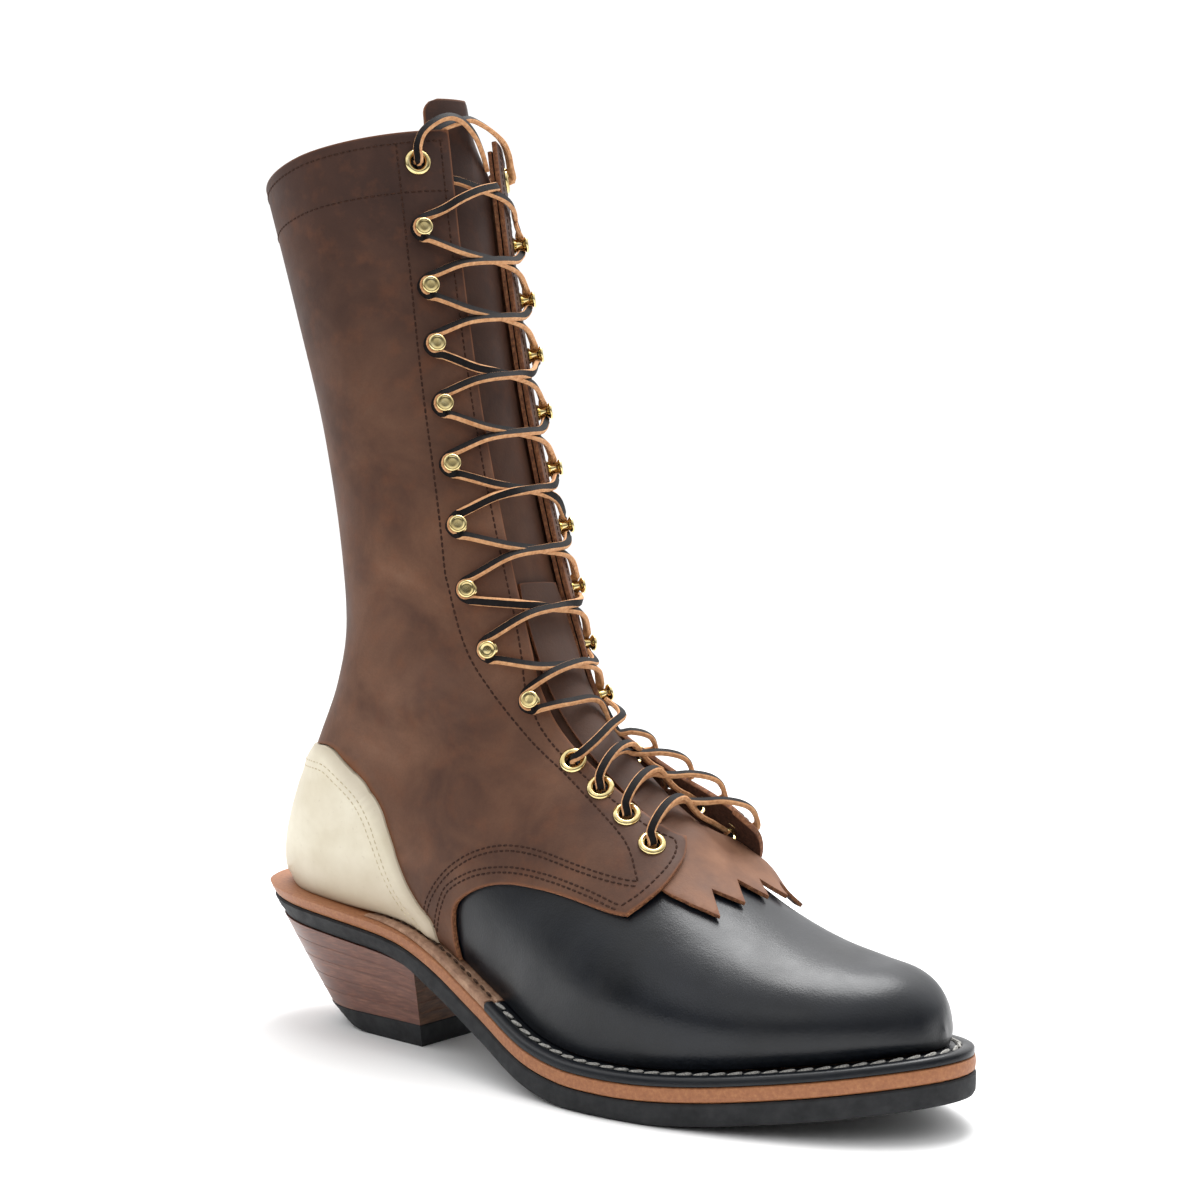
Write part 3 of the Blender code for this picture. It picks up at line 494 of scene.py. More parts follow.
def upper():
    """Both halves of the lasted leather, grain side out, flesh side in, with cut edges between them."""
    rows = last_rows(0.0, COLLAR_ROW)
    shares = np.linspace(0.0, 1.0, 64)
    points, faces, slots = [], [], []
    for side in SIDES.values():
        turns = face_turn(rows, side)[:, None] * shares
        sheets = []
        for out in (0.0, -WALL):
            sheets.append(sum(map(len, points)))
            points.append(skin(rows[:, None], turns, side, out).reshape(-1, 3))
        wide = len(shares)

        def corner(sheet, row, column):
            return sheets[sheet] + row * wide + column

        for row in range(len(rows) - 1):
            for column in range(wide - 1):
                ring = [(row, column), (row + 1, column), (row + 1, column + 1), (row, column + 1)]
                for sheet in (0, 1):
                    outward = (side > 0) == (sheet == 0)
                    faces.append([corner(sheet, *at) for at in (ring if outward else ring[::-1])])
                    slots.append(sheet)
            welt_rim = [0] if rows[row] < HEEL_ROW else []
            throat_rim = [wide - 1] if rows[row] >= THROAT_ROW else []
            for column in welt_rim + throat_rim:
                ring = [(0, row), (0, row + 1), (1, row + 1), (1, row)]
                faces.append([corner(sheet, at, column) for sheet, at in ring])
                slots.append(2)
        for column in range(wide - 1):
            ring = [(0, column), (0, column + 1), (1, column + 1), (1, column)]
            faces.append([corner(sheet, len(rows) - 1, at) for sheet, at in ring])
            slots.append(2)
    materials = [BLACK_LEATHER, LINING, RAW_EDGE]
    return leather_mesh("upper_leather", np.concatenate(points), faces, slots, materials)


fit(upper(), "vamp_leather", "upper")


# Quarters: brown pull-up leather over the back and the shaft, cut to a line and laid on the upper.
# Their raw edges show tan round the vamp seam, the ears, the facings and the collar, and a closed
# seam joins them down the back.
QUARTER_OUT, QUARTER_THICK = 0.4, 2.0
GRAIN = QUARTER_OUT + QUARTER_THICK
COLLAR_RISE, COUNTER_GAP = 0.07, 0.02
OUTLINE_STEP = 1.5
# Edge of a quarter from the welt up the vamp seam to the ear and round it to the facing: row, turn
SEAM_EDGE = [
    (10.40, 0.0),
    (10.69, 0.128),
    (10.87, 0.221),
    (10.85, 0.290),
    (10.68, 0.368),
    (10.35, 0.431),
    (9.89, 0.482),
    (9.35, 0.528),
    (8.78, 0.565),
    (8.03, 0.605),
    (7.77, 0.621),
]
EAR_EDGE = [(7.77, 0.621), (7.59, 0.680), (7.48, 0.752), (7.62, 0.838), (7.86, 0.885), (8.16, 0.918)]
# Edge of the counter from the welt up and back: row, turn
COUNTER_EDGE = [
    (10.80, 0.0),
    (11.04, 0.088),
    (11.36, 0.127),
    (11.66, 0.173),
    (12.01, 0.228),
    (12.34, 0.275),
    (12.68, 0.316),
    (13.12, 0.342),
    (13.74, 0.357),
    (14.56, 0.359),
    (15.42, 0.350),
    (16.14, 0.338),
    (16.71, 0.318),
    (17.06, 0.297),
    (17.36, 0.266),
    (17.60, 0.225),
    (17.84, 0.172),
    (18.02, 0.121),
    (18.16, 0.060),
    (18.21, 0.0),
]
# Eyelets from the ear up to the collar: row, distance from the middle
EYELETS = [(8.41, 21.0), (9.39, 19.0), (10.37, 18.0), (11.42, 17.9), (23.84, 24.6)]
EYELET_HOLE = 2.9


def numbered(points):
    """Points with their own number first, to be followed by it."""
    return [(at, *point) for at, point in enumerate(points)]


def smooth_line(points, count):
    """A smooth line of row and turn through a few points."""
    return follow(numbered(points), np.linspace(0.0, len(points) - 1, count))


def run_lengths(points):
    """How far along a line each of its points lies."""
    return np.concatenate([[0.0], np.cumsum(np.linalg.norm(np.diff(points, axis=0), axis=1))])


def read_along(steps, lengths, values):
    """Values that go with a line's points, read at steps along it."""
    return np.stack([np.interp(steps, lengths, column) for column in values.T], axis=1)


def evened(line, side, out, spacing):
    """A line of row and turn with its points evenly spaced over the leather, in mm."""
    lengths = run_lengths(skin(line[:, 0], line[:, 1], side, out))
    return read_along(spread(0.0, lengths[-1], spacing), lengths, line)


def inside(points, loop):
    """Which points lie inside a closed loop."""
    result = np.zeros(len(points), dtype=bool)
    for (x0, y0), (x1, y1) in zip(loop, np.roll(loop, -1, axis=0)):
        crosses = (y0 > points[:, 1]) != (y1 > points[:, 1])
        with np.errstate(divide="ignore", invalid="ignore"):
            at = x0 + (points[:, 1] - y0) * (x1 - x0) / (y1 - y0)
        result ^= crosses & (points[:, 0] < at)
    return result


def nearest(points, loop):
    """Distance of each point from a closed loop."""
    best = np.full(len(points), np.inf)
    for start, end in zip(loop, np.roll(loop, -1, axis=0)):
        run = end - start
        share = np.clip((points - start) @ run / max(run @ run, 1e-12), 0.0, 1.0)
        best = np.minimum(best, np.linalg.norm(points - start - share[:, None] * run, axis=1))
    return best


def share_up(row, turn):
    """How far up its section a point lies, 0 at the bottom and 1 at the top."""
    cut = follow(LAST, row)
    return (last_point(row, turn, LATERAL)[..., 0] - cut[..., 0]) / (cut[..., 2] - cut[..., 0])


def counter_line(count):
    """The counter's edge, smooth in row and in height, as row and turn."""
    table = np.array(COUNTER_EDGE)
    line = smooth_line(list(zip(table[:, 0], share_up(*table.T))), count)
    turns = np.linspace(0.0, 0.6, 400)
    found = [np.interp(share, share_up(np.full_like(turns, row), turns), turns) for row, share in line]
    return np.stack([line[:, 0], found], axis=1)


COUNTER_LINE = counter_line(200)
# The leather is cut flat: rows measured along one turn of the last, turns as a length of their own
RULER_TURN, TURN_LENGTH = 0.55, 110.0
ROW_RULER = np.linspace(0.0, COLLAR_ROW + 0.5, 400)
ROW_LENGTHS = run_lengths(skin(ROW_RULER, np.full_like(ROW_RULER, RULER_TURN), LATERAL))
EDGE_CLEAR = 0.55


def flat(line):
    """Row and turn laid out flat, near enough in mm."""
    return np.stack([np.interp(line[:, 0], ROW_RULER, ROW_LENGTHS), TURN_LENGTH * line[:, 1]], axis=1)


def unflat(places):
    """Row and turn of flat places."""
    return np.stack([np.interp(places[:, 0], ROW_LENGTHS, ROW_RULER), places[:, 1] / TURN_LENGTH], axis=1)


def within(points, loops):
    """Which points lie inside the first loop, a sheet's outline, and outside the others, its holes."""
    outline, *holes = [inside(points, loop) for loop in loops]
    for hole in holes:
        outline &= ~hole
    return outline


def off_edges(points, loops):
    """Distance of each point from the nearest loop."""
    return np.min([nearest(points, loop) for loop in loops], axis=0)


def cut_sheet(loops, spacing, stagger):
    """A flat sheet inside loops, as points, triangles and each point's distance from the cut edge.

    stagger is how far every other row of its points is moved along, as a share of the spacing.
    """
    floor, ceiling = loops[0].min(axis=0), loops[0].max(axis=0)
    steps = [spread(low, high, spacing) for low, high in zip(floor, ceiling)]
    grid = np.stack(np.meshgrid(*steps, indexing="ij"), axis=-1)
    grid[1::2, :, 1] += stagger * (grid[0, 1, 1] - grid[0, 0, 1])
    grid = grid.reshape(-1, 2)
    grid = grid[within(grid, loops)]
    grid = grid[off_edges(grid, loops) > EDGE_CLEAR * spacing]
    edges, start = [], 0
    for loop in loops:
        count = len(loop)
        edges += [(start + at, start + (at + 1) % count) for at in range(count)]
        start += count
    places = [Vector(place) for place in np.concatenate([*loops, grid])]
    found = geometry.delaunay_2d_cdt(places, edges, [], 0, 1e-6)
    points, triangles = np.array([tuple(point) for point in found[0]]), np.array(found[2])
    triangles = triangles[within(points[triangles].mean(axis=1), loops)]
    return points, triangles, off_edges(points, loops)


def two_sides(triangles, count):
    """Faces and slots of a sheet: its grain side, its flesh side and the cut edge between them."""
    faces = triangles.tolist() + (triangles[:, ::-1] + count).tolist()
    slots = [0] * len(triangles) + [1] * len(triangles)
    used = dict.fromkeys((face[at - 1], face[at]) for face in triangles.tolist() for at in (1, 2, 0))
    for first, second in used:
        if (second, first) not in used:
            faces.append([second, first, first + count, second + count])
            slots.append(2)
    return faces, slots


def panel_patch(outline, side, low, high, lift, holes=(), spacing=2.0):
    """A sheet of leather cut to a closed outline of row and turn, as points, faces, slots and edge distance.

    low and high are the heights of its flesh and grain sides off the last, and lift adds to both.
    """
    places, triangles, edge = cut_sheet([flat(outline), *map(flat, holes)], spacing, 0.5)
    row, turn = unflat(places).T
    rise = lift(row, turn)
    sheets = [skin(row, turn, side, height + rise) for height in (high, low)]
    faces, slots = two_sides(triangles if side > 0 else triangles[:, ::-1], len(places))
    return np.concatenate(sheets), faces, slots, np.concatenate([edge, edge])


ROW_STEP, TURN_STEP = 0.02, 0.005


def leather_ways(row, turn, side):
    """Points on the leather, and how far they move for a row and for a turn."""
    here = skin(row, turn, side, GRAIN)
    by_row = (skin(row + ROW_STEP, turn, side, GRAIN) - here) / ROW_STEP
    by_turn = (skin(row, turn + TURN_STEP, side, GRAIN) - here) / TURN_STEP
    return here, by_row, by_turn


def eyelet_hole(row, away, side):
    """A round hole through the leather, as a loop of row and turn."""
    turn = turn_at(row, side, away)
    _, by_row, by_turn = leather_ways(row, turn, side)
    angles = np.linspace(0.0, 2.0 * math.pi, 20, endpoint=False)
    first = by_row / np.linalg.norm(by_row)
    second = by_turn - (by_turn @ first) * first
    second /= np.linalg.norm(second)
    offsets = EYELET_HOLE * (np.cos(angles)[:, None] * first + np.sin(angles)[:, None] * second)
    steps = np.linalg.lstsq(np.stack([by_row, by_turn], axis=1), offsets.T, rcond=None)[0].T
    return np.array([row, float(turn)]) + steps


def quarter_outline(side):
    """Round a quarter: seam, ear, facing, collar, back, the counter's edge and the welt."""
    top = COLLAR_ROW + COLLAR_RISE
    facing_rows = np.linspace(EAR_EDGE[-1][0], top, 300)
    facing = np.stack([facing_rows, face_turn(np.minimum(facing_rows, COLLAR_ROW), side)], axis=1)
    collar = np.linspace(facing[-1], (top, 0.0), 80)
    back = np.linspace((top, 0.0), (COUNTER_EDGE[-1][0] + COUNTER_GAP, 0.0), 120)
    counter = (COUNTER_LINE + [COUNTER_GAP, 0.0])[::-1]
    welt = np.array([counter[-1], SEAM_EDGE[0]])
    runs = (smooth_line(SEAM_EDGE, 120), smooth_line(EAR_EDGE, 60), facing, collar, back, counter, welt)
    loop = np.concatenate([evened(run, side, GRAIN, OUTLINE_STEP)[:-1] for run in runs])
    loop[:, 1] = np.maximum(loop[:, 1], 0.0)
    return loop


# Height of an ear off the vamp, over the flap that lies under it: row, mm. The medial one stands open
EAR_LIFT = {
    LATERAL: [(7.4, 2.2), (8.6, 2.1), (10.4, 0.9), (12.0, 0.0)],
    MEDIAL: [(7.4, 12.4), (9.2, 12.2), (10.0, 11.0), (10.5, 9.4), (11.0, 6.9), (12.0, 2.6), (12.8, 0.0)],
}
# Soft hollows and swells in the leather: row, turn, their half widths, mm
SWELLS = [
    (16.4, 0.50, 0.55, 0.13, -0.8),
    (17.6, 0.46, 0.50, 0.13, 0.6),
    (18.6, 0.50, 0.50, 0.14, -0.7),
    (20.4, 0.36, 0.60, 0.18, 0.6),
    (22.3, 0.30, 0.45, 0.20, -0.6),
    (12.6, 0.56, 0.80, 0.10, 0.5),
]
# The back seam: its ridge, and the strip beside it where the panel's edge doesn't show raw
SEAM_RIDGE, SEAM_WIDTH, SEAM_STRIP, SEAM_GAP = 0.9, 1.9, 8.0, 0.16
FAR_FROM_EDGE = 9.0
EAR_FOLD = (0.58, 0.84)


def eased(value, low, high):
    """0 below low, 1 above high and smooth between."""
    share = np.clip((value - low) / (high - low), 0.0, 1.0)
    return share * share * (3.0 - 2.0 * share)


def quarter_rise(row, turn, side):
    """How far a quarter stands off the last beyond its own thickness."""
    rise = follow(EAR_LIFT[side], row) * eased(turn, *EAR_FOLD)
    for row_middle, turn_middle, tall, wide, height in SWELLS:
        away = ((row - row_middle) / tall) ** 2 + ((turn - turn_middle) / wide) ** 2
        rise = rise + height * np.exp(-away)
    from_back = np.abs(last_point(np.minimum(row, COLLAR_ROW), turn, side)[..., 1])
    return rise + np.where(turn < 0.2, SEAM_RIDGE * np.exp(-((from_back / SEAM_WIDTH) ** 2)), 0.0)


def quarter_leather(name, painted_shade):
    """Brown pull-up leather: mottled, darker up the shaft, with painted shade towards the toe, and darkened
    all over by a share of painted shade.
    """
    leather = Finish(name, shine=0.25)
    cloud = leather.noise(34.0, 4.0, 0.55, distortion=0.4)
    browns = [
        (0.28, srgb(66, 41, 30)),
        (0.48, srgb(90, 60, 44)),
        (0.62, srgb(106, 73, 54)),
        (0.8, srgb(122, 89, 69)),
    ]
    body = leather.ramp(cloud, browns)
    dark = leather.ramp(cloud, [(0.3, srgb(47, 29, 23)), (0.7, srgb(70, 45, 35))])
    body = leather.mix(leather.range(leather.axis("Z"), 0.19, 0.33, 0.0, 1.0), body, dark)
    # Painted shade: darker towards the toe, over the ears, the front of the quarters and the lower tongue.
    body = leather.mix(leather.range(leather.axis("X"), 0.085, 0.135, 0.0, 0.55), body, srgb(60, 38, 29))
    warm = leather.noise(9.0, 5.0, 0.6)
    body = leather.mix(leather.range(warm, 0.5, 0.72, 0.0, 0.3), body, srgb(112, 66, 40))
    body = leather.mix(leather.range(leather.noise(0.8, 3.0), 0.3, 0.7, 0.0, 0.14), body, srgb(40, 26, 22))
    # Painted shade: the whole piece darkened by a share, for a copy of the leather that lies in shade.
    body = leather.mix(painted_shade, body, srgb(40, 25, 20))
    edge = leather.range(leather.attribute("edge"), 0.0, 0.9, 0.75, 0.0)
    leather.colour(leather.mix(edge, body, srgb(124, 76, 46)))
    leather.roughness(leather.range(leather.noise(20.0, 5.0), 0.3, 0.7, 0.5, 0.68))
    leather.bump(leather.cells(0.9), 0.05, 0.45)
    leather.bump(leather.noise(1.6, 5.0), 0.09, 0.5)
    leather.bump(leather.noise(30.0, 2.0), 0.9, 0.35)
    return leather.material


def suede():
    """Flesh side of the brown leather: matt, napped, reddish brown."""
    nap = Finish("brown_suede", 0.95)
    fibres = nap.noise(1.2, 6.0, 0.7)
    nap.colour(nap.ramp(fibres, [(0.3, srgb(58, 34, 24)), (0.6, srgb(98, 62, 44)), (0.8, srgb(128, 88, 64))]))
    nap.bump(nap.noise(0.5, 4.0), 0.25, 0.8)
    return nap.material


BROWN_LEATHER, SUEDE = quarter_leather("brown_pull_up_leather", 0.0), suede()

for label, side in SIDES.items():
    holes = [eyelet_hole(row, away, side) for row, away in EYELETS]
    points, faces, slots, edge = panel_patch(
        quarter_outline(side),
        side,
        QUARTER_OUT,
        GRAIN,
        lambda row, turn: quarter_rise(row, turn, side),
        holes,
    )
    by_seam = (np.abs(points[:, 1]) < SEAM_STRIP) & (points[:, 0] < 0.0)
    edge = np.where(by_seam, FAR_FROM_EDGE, edge)
    points[:, 1] += np.where(points[:, 1] * side < 0.2, side * SEAM_GAP, 0.0)
    materials = [BROWN_LEATHER, SUEDE, RAW_EDGE]
    name = "quarter_" + label
    piece = leather_mesh(name + "_leather", points, faces, slots, materials, 0.35, {"edge": edge})
    fit(piece, "quarter_leather", name)


# Counter: cream leather moulded round the heel over a stiffener and sewn to the quarters.
# Its rim is skived thin at the edge, with a soft folded roll just inside it.
COUNTER_OUT, COUNTER_THICK = 0.6, 3.6
COUNTER_GRAIN = COUNTER_OUT + COUNTER_THICK
# Relief along its edge: height, distance from the edge, width
COUNTER_RELIEF = [(-0.9, 0.0, 1.6), (0.35, 3.4, 1.5), (-0.3, 6.2, 1.0)]


def cream_leather():
    """Cream leather, a little dirty low down and along its rim."""
    leather = Finish("cream_leather")
    cloud = leather.noise(22.0, 4.0)
    body = leather.ramp(cloud, [(0.3, srgb(206, 196, 172)), (0.7, srgb(226, 219, 200))])
    dirt = leather.noise(3.0, 5.0, 0.7)
    low = leather.range(leather.axis("Z"), 0.055, 0.075, 0.5, 0.0)
    body = leather.mix(low, body, srgb(158, 134, 104))
    body = leather.mix(leather.range(dirt, 0.62, 0.8, 0.0, 0.35), body, srgb(150, 130, 106))
    edge = leather.range(leather.attribute("edge"), 0.3, 2.0, 0.4, 0.0)
    leather.colour(leather.mix(edge, body, srgb(150, 132, 110)))
    leather.roughness(leather.range(cloud, 0.3, 0.7, 0.42, 0.58))
    leather.bump(leather.cells(0.8), 0.04, 0.4)
    leather.bump(leather.noise(3.0, 4.0), 0.12, 0.4)
    return leather.material


CREAM_LEATHER = cream_leather()


def counter_rise(row, turn):
    """The counter thins to its skived edge and has a folded rim just inside it."""
    line = flat(COUNTER_LINE)
    places = flat(np.stack([row, turn], axis=1))
    away = np.min(np.linalg.norm(places[:, None] - line[None], axis=2), axis=1)
    return sum(height * np.exp(-(((away - at) / wide) ** 2)) for height, at, wide in COUNTER_RELIEF)


def counter():
    """Both halves of the counter, joined down the back."""
    points, faces, slots, edges = [], [], [], []
    for side in SIDES.values():
        start = sum(map(len, points))
        rim = evened(COUNTER_LINE, side, 4.0, OUTLINE_STEP)
        back = np.linspace((COUNTER_EDGE[-1][0], 0.0), (HEEL_ROW, 0.0), 40)
        foot = np.linspace((HEEL_ROW, 0.0), (COUNTER_EDGE[0][0], 0.0), 90)
        loop = np.concatenate([rim[:-1], back[:-1], foot[:-1]])
        loop[:, 1] = np.maximum(loop[:, 1], 0.0)
        half, half_faces, half_slots, edge = panel_patch(
            loop, side, COUNTER_OUT, COUNTER_GRAIN, counter_rise, spacing=1.8
        )
        for face, slot in zip(half_faces, half_slots):
            joined = slot == 2 and np.abs(half[face, 1]).max() < 0.05
            if not joined:
                faces.append([start + corner for corner in face])
                slots.append(slot)
        points.append(half)
        by_back = np.abs(half[:, 1]) < 4.0
        off_rim = np.where(half[:, 2] > 70.0, np.abs(half[:, 1]) + 20.0, edge)
        edges.append(np.where(by_back, np.maximum(edge, off_rim), edge))
    materials = [CREAM_LEATHER, SUEDE, CREAM_LEATHER]
    attributes = {"edge": np.concatenate(edges)}
    return leather_mesh("counter_leather", np.concatenate(points), faces, slots, materials, 0.5, attributes)


counter_piece = fit(counter(), "counter_leather", "counter")

# Stitching: waxed brown thread in short lock stitches, sunk a little into the leather.
# The rows run round the vamp seam and the ear, behind the facing, along the eyestay and the collar.
THREAD_PITCH, THREAD_WIDTH = 2.6, 0.85
SEAM_ROW_LOW = [
    (10.95, 0.060),
    (11.13, 0.217),
    (11.15, 0.283),
    (10.95, 0.380),
    (10.43, 0.468),
    (9.70, 0.535),
    (8.81, 0.591),
    (8.03, 0.622),
]
SEAM_ROW_HIGH = [
    (11.12, 0.030),
    (11.32, 0.189),
    (11.33, 0.350),
    (11.03, 0.457),
    (10.39, 0.538),
    (9.40, 0.606),
    (8.22, 0.682),
    (7.98, 0.701),
]
EAR_ROW = [(7.99, 0.629), (7.80, 0.683), (7.72, 0.744), (7.76, 0.804), (7.94, 0.852), (8.16, 0.868)]
FACING_INSET, FACING_FROM = 3.4, 8.5
EYESTAY_ROW = [
    (8.00, 0.706),
    (8.59, 0.741),
    (9.18, 0.752),
    (10.48, 0.740),
    (12.39, 0.724),
    (13.67, 0.715),
    (15.32, 0.692),
    (16.85, 0.653),
    (18.05, 0.631),
    (18.98, 0.615),
    (19.80, 0.608),
    (21.88, 0.640),
    (23.01, 0.668),
    (24.00, 0.685),
]
RIM_ROW, BAND_ROW = 23.99, 23.63
ROWS_APART, COUNTER_INSETS = 2.0, (7.0, 9.6)


def stitch_master():
    """One stitch, a short round-ended bar lying along X, 1 long and 1 wide."""
    bpy.ops.object.select_all(action="DESELECT")
    lying = (0.0, 0.5 * math.pi, 0.0)
    bpy.ops.mesh.primitive_uv_sphere_add(segments=6, ring_count=5, radius=0.5, rotation=lying)
    master = bpy.context.object
    bpy.ops.object.transform_apply(location=False, rotation=True, scale=False)
    points = np.array([vert.co[:] for vert in master.data.vertices])
    points[:, 0] = 0.5 * np.sign(points[:, 0]) * np.abs(2.0 * points[:, 0]) ** 0.6
    faces = [list(face.vertices) for face in master.data.polygons]
    bpy.data.objects.remove(master)
    return points, faces


STITCH_POINTS, STITCH_FACES = stitch_master()


def stitches(name, places, along, normals, length, width, height, material, slot):
    """A row of stitches as one piece: centres, directions and the leather's normals, in mm."""
    along = along / np.linalg.norm(along, axis=1, keepdims=True)
    across = np.cross(normals, along)
    across /= np.linalg.norm(across, axis=1, keepdims=True)
    up = np.cross(along, across)
    points, faces = [], []
    for centre, x, y, z in zip(places, along, across, up):
        start = len(points) * len(STITCH_POINTS)
        points.append(centre + STITCH_POINTS @ np.stack([length * x, width * y, height * z]))
        faces += [[start + corner for corner in face] for face in STITCH_FACES]
    piece = leather_mesh(name, np.concatenate(points), faces, [0] * len(faces), [material])
    return fit(piece, slot)


def thread(name, dark, light):
    """Waxed thread, twisted, with a faint shine."""
    cord = Finish(name, 0.8, shine=0.15)
    cord.colour(cord.ramp(cord.noise(0.5, 3.0), [(0.35, dark), (0.65, light)]))
    return cord.material


BROWN_THREAD = thread("brown_thread", srgb(34, 22, 17), srgb(66, 42, 31))


def between(places, normals):
    """Middles, directions and normals of the stitches between neighbouring places."""
    return 0.5 * (places[1:] + places[:-1]), np.diff(places, axis=0), normals[1:]


def stitch_row(line, side):
    """The stitches along a line of row and turn on a quarter."""
    row, turn = evened(line, side, GRAIN, THREAD_PITCH).T
    places = skin(row, turn, side, GRAIN + quarter_rise(row, turn, side))
    return between(places, last_normal(np.minimum(row, COLLAR_ROW), turn, side))


def beside(line, side, offset):
    """The same line moved sideways over the leather, in mm."""
    places, by_row, by_turn = leather_ways(line[:, 0], line[:, 1], side)
    normals = last_normal(np.minimum(line[:, 0], COLLAR_ROW), line[:, 1], side)
    sideways = np.cross(normals, np.gradient(places, axis=0)) * side
    sideways /= np.linalg.norm(sideways, axis=1, keepdims=True)
    steps = [
        np.linalg.lstsq(np.stack([row, turn], axis=1), offset * way, rcond=None)[0]
        for row, turn, way in zip(by_row, by_turn, sideways)
    ]
    return line + np.array(steps)


def to_side(line, side):
    """A lateral line by the facing, moved to the same distance from the facing's edge on a side."""
    edges = face_turn(line[:, 0], side), face_turn(line[:, 0], LATERAL)
    shift = (edges[0] - edges[1]) * eased(line[:, 0], THROAT_ROW, THROAT_ROW + 1.0)
    return line + np.stack([np.zeros(len(line)), shift], axis=1)


for label, side in SIDES.items():
    lines = []
    for table in (SEAM_ROW_LOW, SEAM_ROW_HIGH):
        middle = smooth_line(table, 90)
        lines += [beside(middle, side, offset) for offset in (-0.5 * ROWS_APART, 0.5 * ROWS_APART)]
    lines += [to_side(smooth_line(table, 200), side) for table in (EAR_ROW, EYESTAY_ROW)]
    facing_rows = np.linspace(FACING_FROM, RIM_ROW, 200)
    facing = turn_at(facing_rows, side, follow(THROAT_GAP, facing_rows) + FACING_INSET)
    lines.append(np.concatenate([lines[-2][-1:], np.stack([facing_rows, facing], axis=1)]))
    for row in (RIM_ROW, BAND_ROW):
        turns = np.linspace(0.02, float(face_turn(row, side)) - 0.02, 120)
        lines.append(np.stack([np.full_like(turns, row), turns], axis=1))
    rows = [stitch_row(line, side) for line in lines]
    stitches(
        "quarter_" + label + "_stitches",
        *[np.concatenate(values) for values in zip(*rows)],
        0.8 * THREAD_PITCH,
        THREAD_WIDTH,
        0.6,
        BROWN_THREAD,
        "quarter_leather",
    )


def softened(line, reach):
    """The same line with its small waves smoothed out over a number of points, ends kept."""
    weights = np.hanning(2 * reach + 3)[1:-1]
    weights /= weights.sum()
    start, end = 2.0 * line[0] - line[reach:0:-1], 2.0 * line[-1] - line[-2 : -reach - 2 : -1]
    long = np.concatenate([start, line, end])
    return np.stack([np.convolve(column, weights, "valid") for column in long.T], axis=1)


CREAM_THREAD = thread("cream_thread", srgb(176, 158, 126), srgb(208, 196, 168))
bpy.context.view_layer.update()
rows = []
for side in SIDES.values():
    row, turn = evened(COUNTER_LINE[8:], side, COUNTER_GRAIN, OUTLINE_STEP).T
    places = skin(row, turn, side, COUNTER_GRAIN)
    inward = np.cross(np.gradient(places, axis=0), last_normal(row, turn, side)) * side
    inward /= np.linalg.norm(inward, axis=1, keepdims=True)
    for inset in COUNTER_INSETS:
        path = softened(places + inset * inward, 8)
        found = [counter_piece.closest_point_on_mesh(Vector(place) * MM) for place in path]
        spots = np.array([spot for _, spot, _, _ in found]) / MM
        normals = np.array([normal for _, _, normal, _ in found])
        lengths = run_lengths(spots)
        steps = spread(0.0, lengths[-1], THREAD_PITCH)
        rows.append(between(read_along(steps, lengths, spots), read_along(steps, lengths, normals)))
stitches(
    "counter_stitches",
    *[np.concatenate(values) for values in zip(*rows)],
    0.7 * THREAD_PITCH,
    0.55,
    0.4,
    CREAM_THREAD,
    "counter_leather",
)


# Sole: black rubber outsole, tan leather midsole and a welt stitched round the forefoot.
# Each layer follows the sole's plan with its edge trimmed and a little rounded.
OUTSOLE_THICK, MIDSOLE_THICK = 8.0, 5.2
WELT_FROM, WAIST_FROM = 78.0, 6.0
# Edge of a layer, bottom to top: inset, share of the height, extra height
OUTSOLE_EDGE = [
    (2.4, 0.0, 0.0),
    (0.8, 0.0, 0.4),
    (0.1, 0.0, 1.6),
    (0.0, 0.5, 0.0),
    (0.0, 1.0, -0.7),
    (0.7, 1.0, 0.0),
]
MIDSOLE_EDGE = [(0.9, 0.0, 0.0), (0.25, 0.0, 0.5), (0.0, 0.5, 0.0), (0.25, 1.0, -0.5), (1.0, 1.0, 0.0)]
# How far an edge is trimmed in round the heel, at its bottom and its top, and x where that fades out
HEEL_TUCK = 3.6
OUTSOLE_TUCK, MIDSOLE_TUCK, TUCK_FADE = (HEEL_TUCK, 0.1), (0.1, -2.2), (8.0, 48.0)


def sole_stations(first, last):
    """Stations along the plan, closer together where the ends turn."""
    steps = np.linspace(0.0, 1.0, 161)
    steps = PLAN_END * (0.55 * steps + 0.225 * (1.0 - np.cos(math.pi * steps)))
    return np.concatenate([[first], steps[(steps > first + 0.02) & (steps < last - 0.02)], [last]])


def outsole_top(x):
    return seat_z(x) - MIDSOLE_THICK - CLEAR


def outsole_bottom(x):
    return np.maximum(outsole_top(x) - OUTSOLE_THICK, 0.0)


def rings_mesh(name, rings, materials):
    """A skin through like rings of points, capped at both ends."""
    rings = np.asarray(rings)
    order = np.arange(rings.shape[0] * rings.shape[1]).reshape(rings.shape[:2])
    after = np.roll(order, -1, axis=1)
    faces = np.stack([order[:-1], after[:-1], after[1:], order[1:]], axis=-1).reshape(-1, 4).tolist()
    faces += [order[0, ::-1].tolist(), order[-1].tolist()]
    return leather_mesh(name, rings.reshape(-1, 3), faces, [0] * len(faces), materials)


def sole_layer(name, bottom, top, edge, tuck, material):
    """One full-length layer of the sole between two height functions of x."""
    stations = sole_stations(0.0, PLAN_END)
    rows = []
    for side in SIDES.values():
        run = edge if side < 0 else edge[::-1]
        heel = 1.0 - eased(sole_edge(stations, side)[:, 0], *TUCK_FADE)
        for inset, share, extra in run:
            plan = sole_edge(stations, side, inset + heel * (tuck[0] + share * (tuck[1] - tuck[0])))
            x = plan[:, 0]
            rows.append(np.column_stack([plan, bottom(x) + share * (top(x) - bottom(x)) + extra]))
    return rings_mesh(name, np.stack(rows, axis=1), [material])


